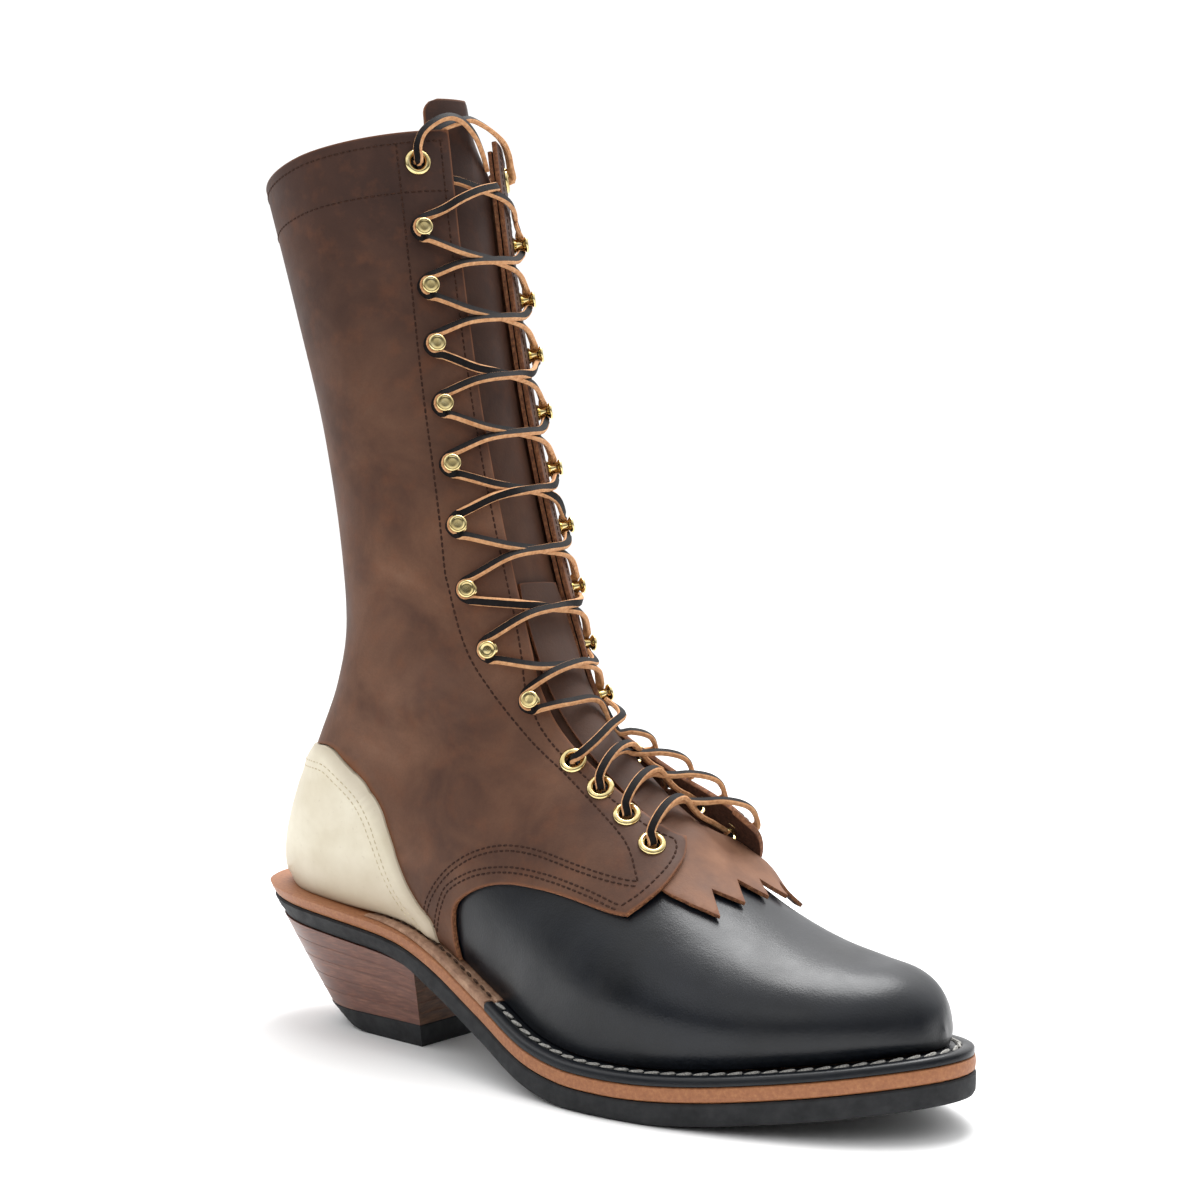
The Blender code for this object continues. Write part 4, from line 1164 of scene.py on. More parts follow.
def rubber():
    """Black rubber, matt, faintly speckled and scuffed."""
    tread = Finish("black_rubber", 0.7, shine=0.3)
    cloud = tread.noise(9.0, 5.0, 0.65)
    tread.colour(tread.ramp(cloud, [(0.3, srgb(25, 26, 28)), (0.7, srgb(40, 41, 43))]))
    tread.roughness(tread.range(tread.noise(4.0, 4.0), 0.3, 0.7, 0.6, 0.82))
    tread.bump(tread.noise(0.6, 4.0), 0.12, 0.6)
    return tread.material


def tan_leather():
    """Waxed tan edge of the midsole, streaked along its length."""
    edge = Finish("waxed_tan_leather", 0.55)
    streaks = edge.noise(1.3, 5.0, 0.65)
    tans = [(0.25, srgb(130, 80, 48)), (0.5, srgb(150, 95, 58)), (0.75, srgb(170, 115, 72))]
    edge.colour(edge.ramp(streaks, tans))
    edge.bump(edge.noise(0.8, 4.0), 0.1, 0.5)
    return edge.material


def midsole_bottom(x):
    return seat_z(x) - MIDSOLE_THICK


RUBBER, TAN_LEATHER = rubber(), tan_leather()
outsole = sole_layer("outsole_rubber", outsole_bottom, outsole_top, OUTSOLE_EDGE, OUTSOLE_TUCK, RUBBER)
fit(outsole, "outsole_rubber", "outsole")
midsole = sole_layer("midsole_leather", midsole_bottom, seat_z, MIDSOLE_EDGE, MIDSOLE_TUCK, TAN_LEATHER)
fit(midsole, "midsole_leather", "midsole")

# Welt section from its outer edge in: inset, height from its top
WELT_SECTION = [
    (0.9, -0.7),
    (1.7, -0.15),
    (3.2, 0.05),
    (4.4, -0.1),
    (5.0, -0.8),
    (6.3, -0.8),
    (6.9, -0.15),
    (8.6, 0.0),
    (11.2, 0.0),
]


def station_at(x, side):
    """Station of the sole's edge at an x."""
    steps = np.linspace(0.0, PLAN_END, 400)
    return float(np.interp(x, sole_edge(steps, side)[:, 0], steps))


def welt_rings(stations, side, edge):
    """Cross-sections of the welt along one side."""
    rows = []
    for inset, drop in [(edge, None), (edge, -1.3), *WELT_SECTION, (11.2, None)]:
        plan = sole_edge(stations, side, inset)
        floor = seat_z(plan[:, 0]) + CLEAR
        height = floor if drop is None else np.maximum(feather_z(plan[:, 0]) + drop, floor + 0.05)
        rows.append(np.column_stack([plan, height]))
    return np.stack(rows, axis=1)


def welt_line(stations, side, inset, drop):
    """A line along the welt, in from the sole's edge and below the welt's top."""
    plan = sole_edge(stations, side, inset)
    return np.column_stack([plan, feather_z(plan[:, 0]) + drop])


def natural_leather():
    """Raw natural leather of the rear welt, pale where it was skived."""
    raw = Finish("natural_leather", 0.7)
    cloud = raw.noise(4.0, 6.0, 0.65)
    shades = [(0.28, srgb(112, 80, 60)), (0.5, srgb(150, 114, 90)), (0.72, srgb(182, 148, 122))]
    raw.colour(raw.ramp(cloud, shades))
    raw.bump(raw.noise(1.0, 5.0), 0.3, 0.7)
    return raw.material


NATURAL_LEATHER = natural_leather()
WHITE_THREAD = thread("white_thread", srgb(120, 119, 116), srgb(186, 184, 178))
DARK_THREAD = thread("dark_thread", srgb(46, 34, 28), srgb(92, 70, 54))
front = {side: station_at(WELT_FROM, side) for side in SIDES.values()}
lateral_run = welt_rings(sole_stations(front[LATERAL], PLAN_END), LATERAL, 0.5)
medial_run = welt_rings(sole_stations(front[MEDIAL], PLAN_END)[::-1], MEDIAL, 0.5)
welt = rings_mesh("welt_leather", np.concatenate([lateral_run, medial_run[1:]]), [BLACK_LEATHER])
fit(welt, "vamp_leather", "welt")
for label, side in SIDES.items():
    stations = sole_stations(station_at(WAIST_FROM, side), station_at(WELT_FROM - 0.6, side))
    rings = welt_rings(stations, side, 0.8)
    rings = rings if side < 0 else rings[::-1]
    waist = rings_mesh("waist_welt_" + label + "_leather", rings, [NATURAL_LEATHER])
    fit(waist, "welt_leather", "waist_welt_" + label)

WELT_PITCH, WELT_STITCH_INSET = 6.0, 5.65


def welt_stitches(name, runs, pitch, length, width, material):
    """Slanted lock stitches that lie in the welt's channel."""
    centres, ways = [], []
    for line, slant in runs:
        lengths = run_lengths(line)
        steps = np.arange(0.5 * pitch, lengths[-1], pitch)
        spots = read_along(steps, lengths, line)
        along = read_along(steps + 0.5, lengths, line) - spots
        along /= np.maximum(np.linalg.norm(along, axis=1, keepdims=True), 1e-6)
        across = np.column_stack([-along[:, 1], along[:, 0], np.zeros(len(along))])
        centres.append(spots)
        ways.append(along + slant * across + [0.0, 0.0, 0.10])
    centres, ways = np.concatenate(centres), np.concatenate(ways)
    normals = np.tile([0.0, 0.0, 1.0], (len(centres), 1))
    stitches(name, centres, ways, normals, length, width, width, material, "welt_leather")


run = np.concatenate(
    [
        welt_line(sole_stations(front[LATERAL], PLAN_END), LATERAL, WELT_STITCH_INSET, -0.25),
        welt_line(sole_stations(front[MEDIAL], PLAN_END)[::-1], MEDIAL, WELT_STITCH_INSET, -0.25)[1:],
    ]
)
welt_stitches("welt_stitches", [(run, 0.22)], WELT_PITCH, 5.7, 1.45, WHITE_THREAD)
runs = []
for side in SIDES.values():
    stations = sole_stations(station_at(WAIST_FROM + 6.0, side), station_at(WELT_FROM - 1.0, side))
    runs.append((welt_line(stations, side, WELT_STITCH_INSET + 0.3, -0.4), 0.15 * side))
welt_stitches("waist_stitches", runs, 4.6, 3.4, 1.1, DARK_THREAD)


# Insole: the natural leather board that the upper is lasted over, inside the boot.
# Its solid has the right form, so it only gets its leather.
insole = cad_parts["insole"]
insole.data.materials.clear()
insole.data.materials.append(LINING)


# Heel: five lifts of stacked leather, glued and nailed on a rubber cap and trimmed as one.
# Its sides are raked forward, stained and polished, and its front face is cut square.
HEEL_FLOOR = {"back": -33.0, "breast": 27.0, "lateral": -26.5, "medial": 26.0}
HEEL_TOP_BREAST = 30.5
HEEL_CAP_THICK, HEEL_LIFTS, CAP_LEVEL = 9.0, 5, 0.22
HEEL_TAPER, HEEL_ROLL = 2.5, 3.0


def even_run(points, count):
    """A line through the same points, with even steps."""
    points = np.asarray(points, dtype=float)
    lengths = run_lengths(points)
    return read_along(np.linspace(0.0, lengths[-1], count), lengths, points)


def heel_floor():
    """Outline of the heel on the floor, from its lateral front corner round the back to the medial one."""
    lateral, medial, back, breast = (HEEL_FLOOR[key] for key in ("lateral", "medial", "back", "breast"))
    middle = back + 1.15 * medial
    ring = [(breast, lateral), (middle, lateral + HEEL_TAPER)]
    for angle in np.linspace(-0.5 * math.pi, 0.5 * math.pi, 49):
        width = (medial if angle > 0.0 else -lateral) - HEEL_TAPER
        ring.append((middle - (middle - back) * math.cos(angle), width * math.sin(angle)))
    return even_run(ring + [(middle, medial - HEEL_TAPER), (breast, medial)], 90)


def heel_top():
    """The same outline under the outsole, flush with its trimmed edge."""
    run = []
    for side in SIDES.values():
        stations = np.linspace(station_at(HEEL_TOP_BREAST, side), 0.0, 80)
        run.append(sole_edge(stations, side, HEEL_TUCK + CLEAR))
    return even_run(np.concatenate([run[0], run[1][-2::-1]]), 90)


HEEL_LOW_RING, HEEL_TOP_RING = heel_floor(), heel_top()


def heel_ring(level, height, inset):
    """Outline of the heel at a level, 0 at the floor and 1 under the outsole."""
    ring = HEEL_LOW_RING + level * (HEEL_TOP_RING - HEEL_LOW_RING)
    middle = ring.mean(axis=0)
    away = ring - middle
    ring = ring - inset * away / np.linalg.norm(away, axis=1, keepdims=True)
    return np.column_stack([ring, height(ring[:, 0])])


def heel_layer(name, low, high, bottom, top, rounding, material):
    """One layer of the heel between two levels and two height functions of x, with rounded edges."""
    rings = [
        heel_ring(low, bottom, rounding),
        heel_ring(low, lambda x: bottom(x) + rounding, 0.0),
        heel_ring(high, lambda x: top(x) - rounding, 0.0),
        heel_ring(high, top, rounding),
    ]
    return rings_mesh(name, rings, [material])


def lift_height(number, gap):
    """Height of the joint over a number of lifts."""
    share = number / HEEL_LIFTS
    return lambda x: HEEL_CAP_THICK + share * (outsole_bottom(x) - HEEL_CAP_THICK) + gap


def stack_leather(number):
    """Edge of one lift, stained red brown, with fine streaks along it."""
    stack = Finish("stack_leather_%d" % number, 0.4)
    streaks = stack.noise(1.5, 4.0, 0.6, vector=stack.stretched((0.22, 0.22, 1.7)))
    shift = 4.0 * math.sin(2.4 * number)
    browns = [(0.25, (78, 44, 33)), (0.5, (104, 63, 49)), (0.75, (134, 90, 70))]
    stack.colour(stack.ramp(streaks, [(at, srgb(*np.add(brown, shift))) for at, brown in browns]))
    stack.roughness(stack.range(streaks, 0.3, 0.7, 0.32, 0.46))
    stack.bump(streaks, 0.08, 0.4)
    return stack.material


def breast_leather():
    """The heel's front face, cut square and stained dark."""
    face = Finish("breast_leather", 0.6)
    streaks = face.noise(1.8, 4.0, 0.6, vector=face.stretched((0.3, 0.3, 1.6)))
    face.colour(face.ramp(streaks, [(0.3, srgb(62, 40, 28)), (0.7, srgb(112, 78, 54))]))
    return face.material


BREAST_LEATHER = breast_leather()


def cap_bottom(x):
    """The cap is rolled up a little towards its back."""
    return HEEL_ROLL * eased(-x, 0.0, 36.0)


cap = heel_layer("heel_cap_rubber", 0.0, CAP_LEVEL, cap_bottom, lift_height(0, -0.1), 0.5, RUBBER)
fit(cap, "outsole_rubber", "heel_cap")
for lift in range(HEEL_LIFTS):
    levels = [CAP_LEVEL + (1.0 - CAP_LEVEL) * number / HEEL_LIFTS for number in (lift, lift + 1)]
    piece = heel_layer(
        "heel_lift_%d_leather" % (lift + 1),
        *levels,
        lift_height(lift, 0.0),
        lift_height(lift + 1, -0.03),
        0.07,
        stack_leather(lift + 1),
    )
    piece.data.materials.append(BREAST_LEATHER)
    for face in piece.data.polygons:
        face.material_index = 1 if face.normal.x > 0.9 else 0
    fit(piece, "stack_leather", "heel_lift_%d" % (lift + 1))


# Tongue: one long piece of the brown leather, sewn in at the throat and lying behind the lacing.
# It stands above the collar with round corners, and its medial one curls back.
TONGUE_SINK, TONGUE_THICK, TONGUE_RISE = 3.0, 1.6, 45.0
TONGUE_WIDTH = [(7.5, 8.0), (8.3, 15.0), (10.0, 19.0), (18.0, 20.0), (24.0, 20.0), (24.24, 19.6)]
TONGUE_TOP, TONGUE_CORNER, TONGUE_CURL, CURL_ROWS = 24.4, 0.13, 12.0, (23.75, 24.3)


def slab(name, grain, flesh, materials, bevel, edge):
    """A closed sheet from two like grids of points, grain side and flesh side."""
    rows, columns = grain.shape[:2]
    count = rows * columns
    order = np.arange(count).reshape(rows, columns)
    cells = np.stack([order[:-1, :-1], order[1:, :-1], order[1:, 1:], order[:-1, 1:]], axis=-1).reshape(-1, 4)
    rim = np.concatenate([order[0, :-1], order[:-1, -1], order[-1, :0:-1], order[:0:-1, 0]])
    after = np.roll(rim, -1)
    sides = np.stack([rim, after, after + count, rim + count], axis=1)
    faces = np.concatenate([cells, cells[:, ::-1] + count, sides]).tolist()
    slots = [0] * len(cells) + [1] * len(cells) + [2] * len(sides)
    points = np.concatenate([grain.reshape(-1, 3), flesh.reshape(-1, 3)])
    return leather_mesh(name, points, faces, slots, materials, bevel, {"edge": np.tile(edge.ravel(), 2)})


def across_boot(row, away, out):
    """Points at a signed distance from the middle, lateral negative, a height off the last."""
    row, away, out = np.broadcast_arrays(row, away, out)
    lateral = skin(np.minimum(row, COLLAR_ROW), turn_at(row, LATERAL, away), LATERAL, out)
    medial = skin(np.minimum(row, COLLAR_ROW), turn_at(row, MEDIAL, away), MEDIAL, out)
    return np.where((away < 0.0)[..., None], lateral, medial)


def tongue():
    """The tongue, widest along the lacing."""
    rows = np.concatenate([last_rows(7.8, COLLAR_ROW)[::2], np.linspace(24.03, TONGUE_TOP, 14)])
    shares = np.linspace(-1.0, 1.0, 33)
    corner = np.clip((rows - (TONGUE_TOP - TONGUE_CORNER)) / TONGUE_CORNER, 0.0, 1.0)
    half = follow(TONGUE_WIDTH, rows) - 6.0 * (1.0 - np.sqrt(1.0 - corner**2))
    lean = last_point(COLLAR_ROW, 1.0, MEDIAL) - last_point(COLLAR_ROW - 0.5, 1.0, MEDIAL)
    lean = lean / np.linalg.norm(lean)
    above = TONGUE_RISE * np.maximum(rows - COLLAR_ROW, 0.0)[:, None, None] * lean
    sheets = []
    for out in (-TONGUE_SINK, -TONGUE_SINK - TONGUE_THICK):
        sheet = across_boot(rows[:, None], half[:, None] * shares, out) + above
        sheet[..., 0] -= TONGUE_CURL * eased(rows, *CURL_ROWS)[:, None] * np.maximum(shares, 0.0) ** 1.3
        sheets.append(sheet)
    edge = np.minimum(half[:, None] * (1.0 - np.abs(shares)), TONGUE_RISE * (TONGUE_TOP - rows[:, None]))
    return slab("tongue_leather", *sheets, [TONGUE_PAINTED_SHADE_LEATHER, SUEDE, RAW_EDGE], 0.3, edge)


# The tongue gets a copy of the quarters' leather darkened by painted shade, for the shade it lies in under
# the lacing.
TONGUE_PAINTED_SHADE_LEATHER = quarter_leather("tongue_pull_up_leather_painted_shade", 0.45)
fit(tongue(), "quarter_leather", "tongue")


# Kiltie: a fringed flap of thinner brown leather that lies on the vamp, under the ears, and runs up
# between the facings. Its fringe is cut in five saw teeth.
KILTIE_THICK = 1.5
# Height off the last: row, mm
KILTIE_OUT = [
    (5.8, 0.8),
    (7.0, 0.9),
    (7.6, 1.0),
    (8.1, 0.9),
    (8.6, -0.6),
    (9.2, -1.5),
    (10.5, -2.0),
    (19.0, -2.2),
]
# Its outline, in rows and distances from the middle: the lateral side, tips and notches, the medial side
FRINGE = [
    (6.27, -24.2),
    (6.80, -17.1),
    (6.21, -11.0),
    (6.74, -3.5),
    (6.17, 2.5),
    (6.69, 9.0),
    (6.20, 14.5),
    (6.74, 20.5),
    (6.30, 26.0),
]
KILTIE_LEFT = [
    (18.5, -11.0),
    (17.0, -12.2),
    (10.0, -12.8),
    (8.7, -13.0),
    (8.2, -18.0),
    (7.85, -26.0),
    (7.48, -29.8),
    (6.85, -27.8),
]
KILTIE_RIGHT = [
    (6.85, 29.0),
    (7.48, 30.0),
    (7.85, 26.0),
    (8.2, 18.0),
    (8.7, 13.0),
    (10.0, 12.8),
    (17.0, 12.2),
    (18.5, 11.0),
]


def kiltie_point(row, away, extra):
    """The flap sinks into the gap between the facings and lies on the vamp outside it."""
    gap = follow(THROAT_GAP, np.maximum(row, THROAT_ROW))
    share = np.clip((gap - np.abs(away)) / 3.0, 0.0, 1.0)
    lying = follow(KILTIE_OUT, row)
    out = np.where(row > 8.2, share * lying + (1.0 - share) * 0.6, lying)
    curl = eased(away, 6.0, 26.0) * (1.0 - eased(row, 8.0, 8.8))
    return across_boot(row, away, out + extra + curl * (2.5 + 5.0 * eased(row, 6.4, 7.4)))


def kiltie():
    """The flap, cut flat to its outline and laid on the boot."""
    line = np.concatenate([smooth_line(KILTIE_LEFT, 150), FRINGE, smooth_line(KILTIE_RIGHT, 150)])
    corners = np.column_stack([np.interp(line[:, 0], ROW_RULER, ROW_LENGTHS), line[:, 1]])
    runs = []
    for start, end in zip(corners, np.roll(corners, -1, axis=0)):
        count = max(int(np.linalg.norm(end - start) / OUTLINE_STEP), 1)
        runs.append(np.linspace(start, end, count, endpoint=False))
    places, triangles, edge = cut_sheet([np.concatenate(runs)], 2.0, 0.0)
    row, away = np.interp(places[:, 0], ROW_LENGTHS, ROW_RULER), places[:, 1]
    points = np.concatenate([kiltie_point(row, away, extra) for extra in (KILTIE_THICK, 0.0)])
    faces, slots = two_sides(triangles, len(places))
    materials = [KILTIE_LEATHER, SUEDE, RAW_EDGE]
    return leather_mesh("kiltie_leather", points, faces, slots, materials, 0.3, {"edge": np.tile(edge, 2)})


def kiltie_leather():
    """The flap's leather, a paler, drier brown with fine scratches, and painted shade up its neck between the
    facings.
    """
    leather = Finish("pale_brown_leather", shine=0.25)
    cloud = leather.noise(16.0, 5.0, 0.6)
    browns = [(0.3, srgb(96, 65, 48)), (0.55, srgb(118, 83, 63)), (0.75, srgb(134, 98, 76))]
    body = leather.ramp(cloud, browns)
    edge = leather.range(leather.attribute("edge"), 0.0, 0.6, 0.5, 0.0)
    # Painted shade: the neck that runs up between the facings, under the laces, darkens with height.
    body = leather.mix(leather.range(leather.axis("Z"), 0.084, 0.106, 0.0, 0.85), body, srgb(54, 35, 27))
    leather.colour(leather.mix(edge, body, srgb(108, 64, 40)))
    leather.roughness(leather.range(cloud, 0.3, 0.7, 0.55, 0.7))
    leather.bump(leather.cells(0.8), 0.05, 0.5)
    leather.bump(leather.noise(2.0, 5.0), 0.15, 0.5)
    return leather.material


KILTIE_LEATHER = kiltie_leather()
fit(kiltie(), "quarter_leather", "kiltie")


# Eyelets and speed hooks: pressed brass, clenched through the facings. An eyelet is a rolled ring,
# a hook is a post with a dished cap. Each is turned once and copied to its places.
HOOKS = [  # row, turn
    (14.06, 0.784),
    (16.79, 0.722),
    (18.76, 0.687),
    (20.28, 0.681),
    (21.22, 0.694),
    (21.93, 0.704),
    (22.46, 0.711),
    (22.91, 0.720),
    (23.35, 0.726),
]
HOOK_SECTION = [  # radius, height
    (3.2, 0.0),
    (3.3, 0.35),
    (2.9, 0.75),
    (2.1, 1.1),
    (1.8, 1.8),
    (1.8, 3.4),
    (2.1, 4.2),
    (2.8, 4.6),
    (3.25, 4.95),
    (3.4, 5.35),
    (3.25, 5.75),
    (2.85, 5.98),
    (2.4, 5.95),
    (2.1, 5.8),
    (1.4, 5.85),
    (0.6, 5.9),
]
EYELET_SECTION = [  # radius, height
    (2.75, -1.2),
    (2.75, 0.3),
    (2.95, 0.8),
    (3.5, 1.15),
    (4.2, 1.1),
    (4.85, 0.7),
    (5.15, 0.2),
    (5.1, 0.0),
    (3.1, 0.0),
    (3.05, -1.2),
]


def brass():
    """Aged brass, warm, with small scratches and darker spots."""
    metal = Finish("aged_brass", 0.3, 1.0)
    cloud = metal.noise(2.5, 5.0, 0.6)
    brasses = [(0.3, srgb(206, 182, 122)), (0.6, srgb(226, 208, 152)), (0.8, srgb(238, 224, 180))]
    metal.colour(metal.ramp(cloud, brasses))
    metal.roughness(metal.range(metal.noise(1.2, 5.0), 0.3, 0.7, 0.10, 0.18))
    return metal.material


BRASS = brass()


def turned(name, section, closed):
    """A brass part turned about Z: a circle drawn out and scaled from step to step of its section."""
    bpy.ops.object.select_all(action="DESELECT")
    radius, height = section[0]
    fill, place = "NOTHING" if closed else "NGON", (0.0, 0.0, height * MM)
    bpy.ops.mesh.primitive_circle_add(vertices=28, radius=radius * MM, fill_type=fill, location=place)
    part = bpy.context.object
    part.name = name
    bpy.ops.object.transform_apply(location=True, rotation=False, scale=False)
    bpy.ops.object.mode_set(mode="EDIT")
    bpy.ops.mesh.select_all(action="SELECT")
    for after, high in section[1:] + (section[:1] if closed else []):
        bpy.ops.mesh.extrude_region_move(TRANSFORM_OT_translate={"value": (0.0, 0.0, (high - height) * MM)})
        bpy.ops.transform.resize(value=(after / radius, after / radius, 1.0))
        radius, height = after, high
    bpy.ops.mesh.select_all(action="SELECT")
    bpy.ops.mesh.remove_doubles(threshold=0.00001)
    bpy.ops.mesh.normals_make_consistent(inside=False)
    bpy.ops.object.mode_set(mode="OBJECT")
    bpy.ops.object.shade_smooth_by_angle(angle=math.radians(45.0))
    part.data.materials.append(BRASS)
    return part


def seated(master, name, spot, normal):
    """A copy of a turned part, with its own mesh, standing on a spot along the leather's normal."""
    turn = Vector(normal).to_track_quat("Z", "Y").to_matrix().to_4x4()
    piece = bpy.data.objects.new(name, master.data.copy())
    piece.data.transform(Matrix.Translation(Vector(spot) * MM) @ turn)
    bpy.context.collection.objects.link(piece)
    return piece


def on_quarter(row, turn, side):
    """A spot on a quarter's grain side and the direction it faces."""
    row, turn = np.array([row]), np.array([turn])
    rise = quarter_rise(row, turn, side)[0]
    return skin(row, turn, side, GRAIN + rise)[0], last_normal(np.minimum(row, COLLAR_ROW), turn, side)[0]


eyelet, hook = turned("eyelet", EYELET_SECTION, True), turned("hook", HOOK_SECTION, False)
HOOK_SPOTS, EYELET_SPOTS = {}, {}
for label, side in SIDES.items():
    for number, (row, away) in enumerate(EYELETS, 1):
        EYELET_SPOTS[side, number] = on_quarter(row, float(turn_at(row, side, away)), side)
        ring = seated(eyelet, "eyelet_%s_%d_brass" % (label, number), *EYELET_SPOTS[side, number])
        fit(ring, "brass", "eyelet_%s_%d" % (label, number))
    for number, (row, turn) in enumerate(HOOKS, 1):
        HOOK_SPOTS[side, number] = on_quarter(row, turn, side)
        post = seated(hook, "hook_%s_%d_brass" % (label, number), *HOOK_SPOTS[side, number])
        fit(post, "brass", "hook_%s_%d" % (label, number))
for master in (eyelet, hook):
    bpy.data.objects.remove(master)


# Lace: a flat strip cut from black leather, tan on its edges and flesh side. The low strips go
# from an eyelet over the front and under the other facing, and two strands wind round the hooks,
# crossing between them, up to the collar.
LACE_WIDTH, LACE_THICK, LACE_CORNER = 3.4, 1.9, 0.4


def lace_leather(name, dark, light):
    """One side of the lace's leather, with a coarse nap."""
    strip = Finish(name, 0.65, shine=0.12)
    strip.colour(strip.ramp(strip.noise(1.6, 5.0, 0.6), [(0.3, dark), (0.7, light)]))
    strip.bump(strip.noise(0.9, 4.0), 0.15, 0.7)
    return strip.material


LACE_GRAIN = lace_leather("lace_grain", srgb(10, 8, 9), srgb(24, 20, 20))
LACE_FLESH = lace_leather("lace_flesh", srgb(172, 120, 80), srgb(214, 166, 122))


def spline(points, spacing):
    """A smooth line through points, resampled evenly."""
    points = np.asarray(points, dtype=float)
    chords = run_lengths(points[:, :3])
    fine = follow(np.column_stack([chords, points]), np.linspace(0.0, chords[-1], 24 * len(points)))
    lengths = run_lengths(fine[:, :3])
    return read_along(spread(0.0, lengths[-1], spacing), lengths, fine)


def strip(name, route):
    """A flat lace along a route of points, each with the direction its grain side faces."""
    run = spline(np.array([[*point, *way] for point, way in route]), 1.1)
    line, grain = run[:, :3], run[:, 3:]
    along = np.gradient(line, axis=0)
    along /= np.linalg.norm(along, axis=1, keepdims=True)
    across = np.cross(grain, along)
    across /= np.linalg.norm(across, axis=1, keepdims=True)
    up = np.cross(along, across)
    half, deep = 0.5 * LACE_WIDTH, 0.5 * LACE_THICK
    top = [(-half + LACE_CORNER, deep), (half - LACE_CORNER, deep), (half, deep - LACE_CORNER)]
    section = top + [(half, LACE_CORNER - deep)] + [(-y, -z) for y, z in top] + [(-half, deep - LACE_CORNER)]
    rings = np.stack([line + y * across + z * up for y, z in section], axis=1)
    piece = rings_mesh(name, rings, [LACE_GRAIN, LACE_FLESH])
    for face in piece.data.polygons:
        outward = Vector(up[min(face.index // len(section), len(up) - 1)])
        face.material_index = 0 if face.normal.dot(outward) > 0.85 else 1
    return piece, line


def lace_point(row, away, out, tilt=0.3):
    """A spot over the front at a signed distance from the middle, and the way its grain side faces."""
    row, away = np.array([float(row)]), np.array([float(away)])
    side = LATERAL if away[0] < 0.0 else MEDIAL
    turn = turn_at(row, side, away)
    rise = quarter_rise(row, np.minimum(turn, face_turn(row, side)), side)[0] * eased(abs(away[0]), 0.0, 14.0)
    facing = last_normal(np.minimum(row, COLLAR_ROW), turn, side)[0]
    return skin(row, turn, side, out + rise)[0], facing + [0.0, 0.0, tilt]


# Ways of a lace from its eyelet, in mm, each with the direction of its grain side: over the lateral
# facing and under the medial one, round the open medial ear, and up to below the first medial hook
NEAR_WAY = [
    ((0.2, -1.0, 4.2), (0.5, -0.6, 0.6)),
    ((0.2, 3.9, 10.0), (0.5, -0.6, 0.6)),
    ((0.0, 10.9, 13.9), (0.4, -0.4, 0.8)),
    ((-0.5, 17.9, 14.8), (0.3, 0.0, 1.0)),
    ((-2.0, 23.9, 13.0), (0.4, 0.5, 0.8)),
    ((-3.0, 29.0, 9.4), (0.4, 0.6, 0.7)),
    ((-3.5, 35.0, 5.6), (0.3, 0.3, 0.9)),
    ((-3.5, 42.0, 2.6), (0.2, 0.1, 1.0)),
    ((-2.5, 49.0, -1.0), (0.2, 0.1, 1.0)),
]
FAR_WAY = [
    ((9.0, 2.0, 2.8), (0.7, 0.4, 0.4)),
    ((11.4, -1.0, 6.6), (0.7, 0.0, 0.7)),
    ((11.5, -5.0, 10.6), (0.4, -0.2, 0.9)),
    ((10.2, -10.0, 13.0), (0.3, -0.3, 1.0)),
    ((6.3, -16.0, 14.3), (0.2, -0.3, 1.0)),
    ((1.3, -21.0, 14.0), (0.2, -0.3, 1.0)),
    ((-2.0, -25.0, 14.3), (0.2, -0.2, 1.0)),
    ((-4.0, -28.3, 14.9), (0.3, 0.0, 1.0)),
    ((-4.8, -33.8, 13.8), (0.3, -0.2, 0.9)),
    ((-5.3, -39.5, 10.2), (0.4, -0.5, 0.7)),
    ((-6.3, -43.3, 4.8), (0.5, -0.6, 0.5)),
    ((-7.0, -46.5, 0.5), (0.5, -0.6, 0.5)),
]
NEAR_START = [
    ((4.2, -1.4, 2.6), (0.5, -0.6, 0.6)),
    ((6.5, 4.9, 7.2), (0.5, -0.6, 0.6)),
    ((7.2, 12.9, 12.2), (0.5, -0.4, 0.7)),
    ((6.0, 21.9, 15.6), (0.5, 0.0, 0.8)),
]
# Way round a hook, from below: distance in from its post and up the boot, in mm
HOOK_LOOP = [(2.0, -4.4), (-2.0, -3.0), (-3.6, 0.0), (-2.0, 3.0), (2.0, 4.4)]
# How far the grain side of a strand is turned up, below and above each hook
LEG_TILTS = [
    (0.8, 1.0),
    (0.9, 0.8),
    (-0.5, 1.0),
    (0.7, -0.4),
    (0.2, 1.0),
    (0.9, 0.5),
    (-0.4, 0.9),
    (0.6, 0.8),
    (0.9, 0.6),
]
# Last stretch from the top hooks to under the facings: rows up, distance from the middle, height
NEAR_END = [
    (0.13, 19.0, 4.4),
    (0.21, 12.0, 4.6),
    (0.28, 4.0, 3.8),
    (0.335, -5.0, 3.2),
    (0.365, -11.0, 1.4),
    (0.375, -16.0, -1.8),
]
FAR_END = [
    (0.19, 26.0, 4.2),
    (0.24, 19.0, 4.6),
    (0.27, 12.0, 4.0),
    (0.29, 4.0, 2.4),
    (0.32, -5.0, 1.4),
    (0.36, -11.0, 0.3),
    (0.38, -16.0, -1.8),
]
# How far a medial way is drawn out at each low eyelet
FAR_REACH = [1.0, 0.94, 0.88, 0.7]
LOOP_OUT, LEG_OUT, CROSSING_OUT, CROSSING_STEP, CROSSING_AWAY = 2.7, 4.6, 3.4, 1.1, 2.0


def from_eyelet(number, side):
    """A lace's start in an eyelet's hole."""
    spot, normal = EYELET_SPOTS[side, number]
    return [(spot - 3.0 * normal, normal), (spot + 1.2 * normal, normal)]


def led(way, number, side, reach=1.0):
    """A way from an eyelet, drawn out or in by a factor."""
    spot, _ = EYELET_SPOTS[side, number]
    route = [(spot + reach * np.array(step), np.array(grain)) for step, grain in way]
    return from_eyelet(number, side) + route


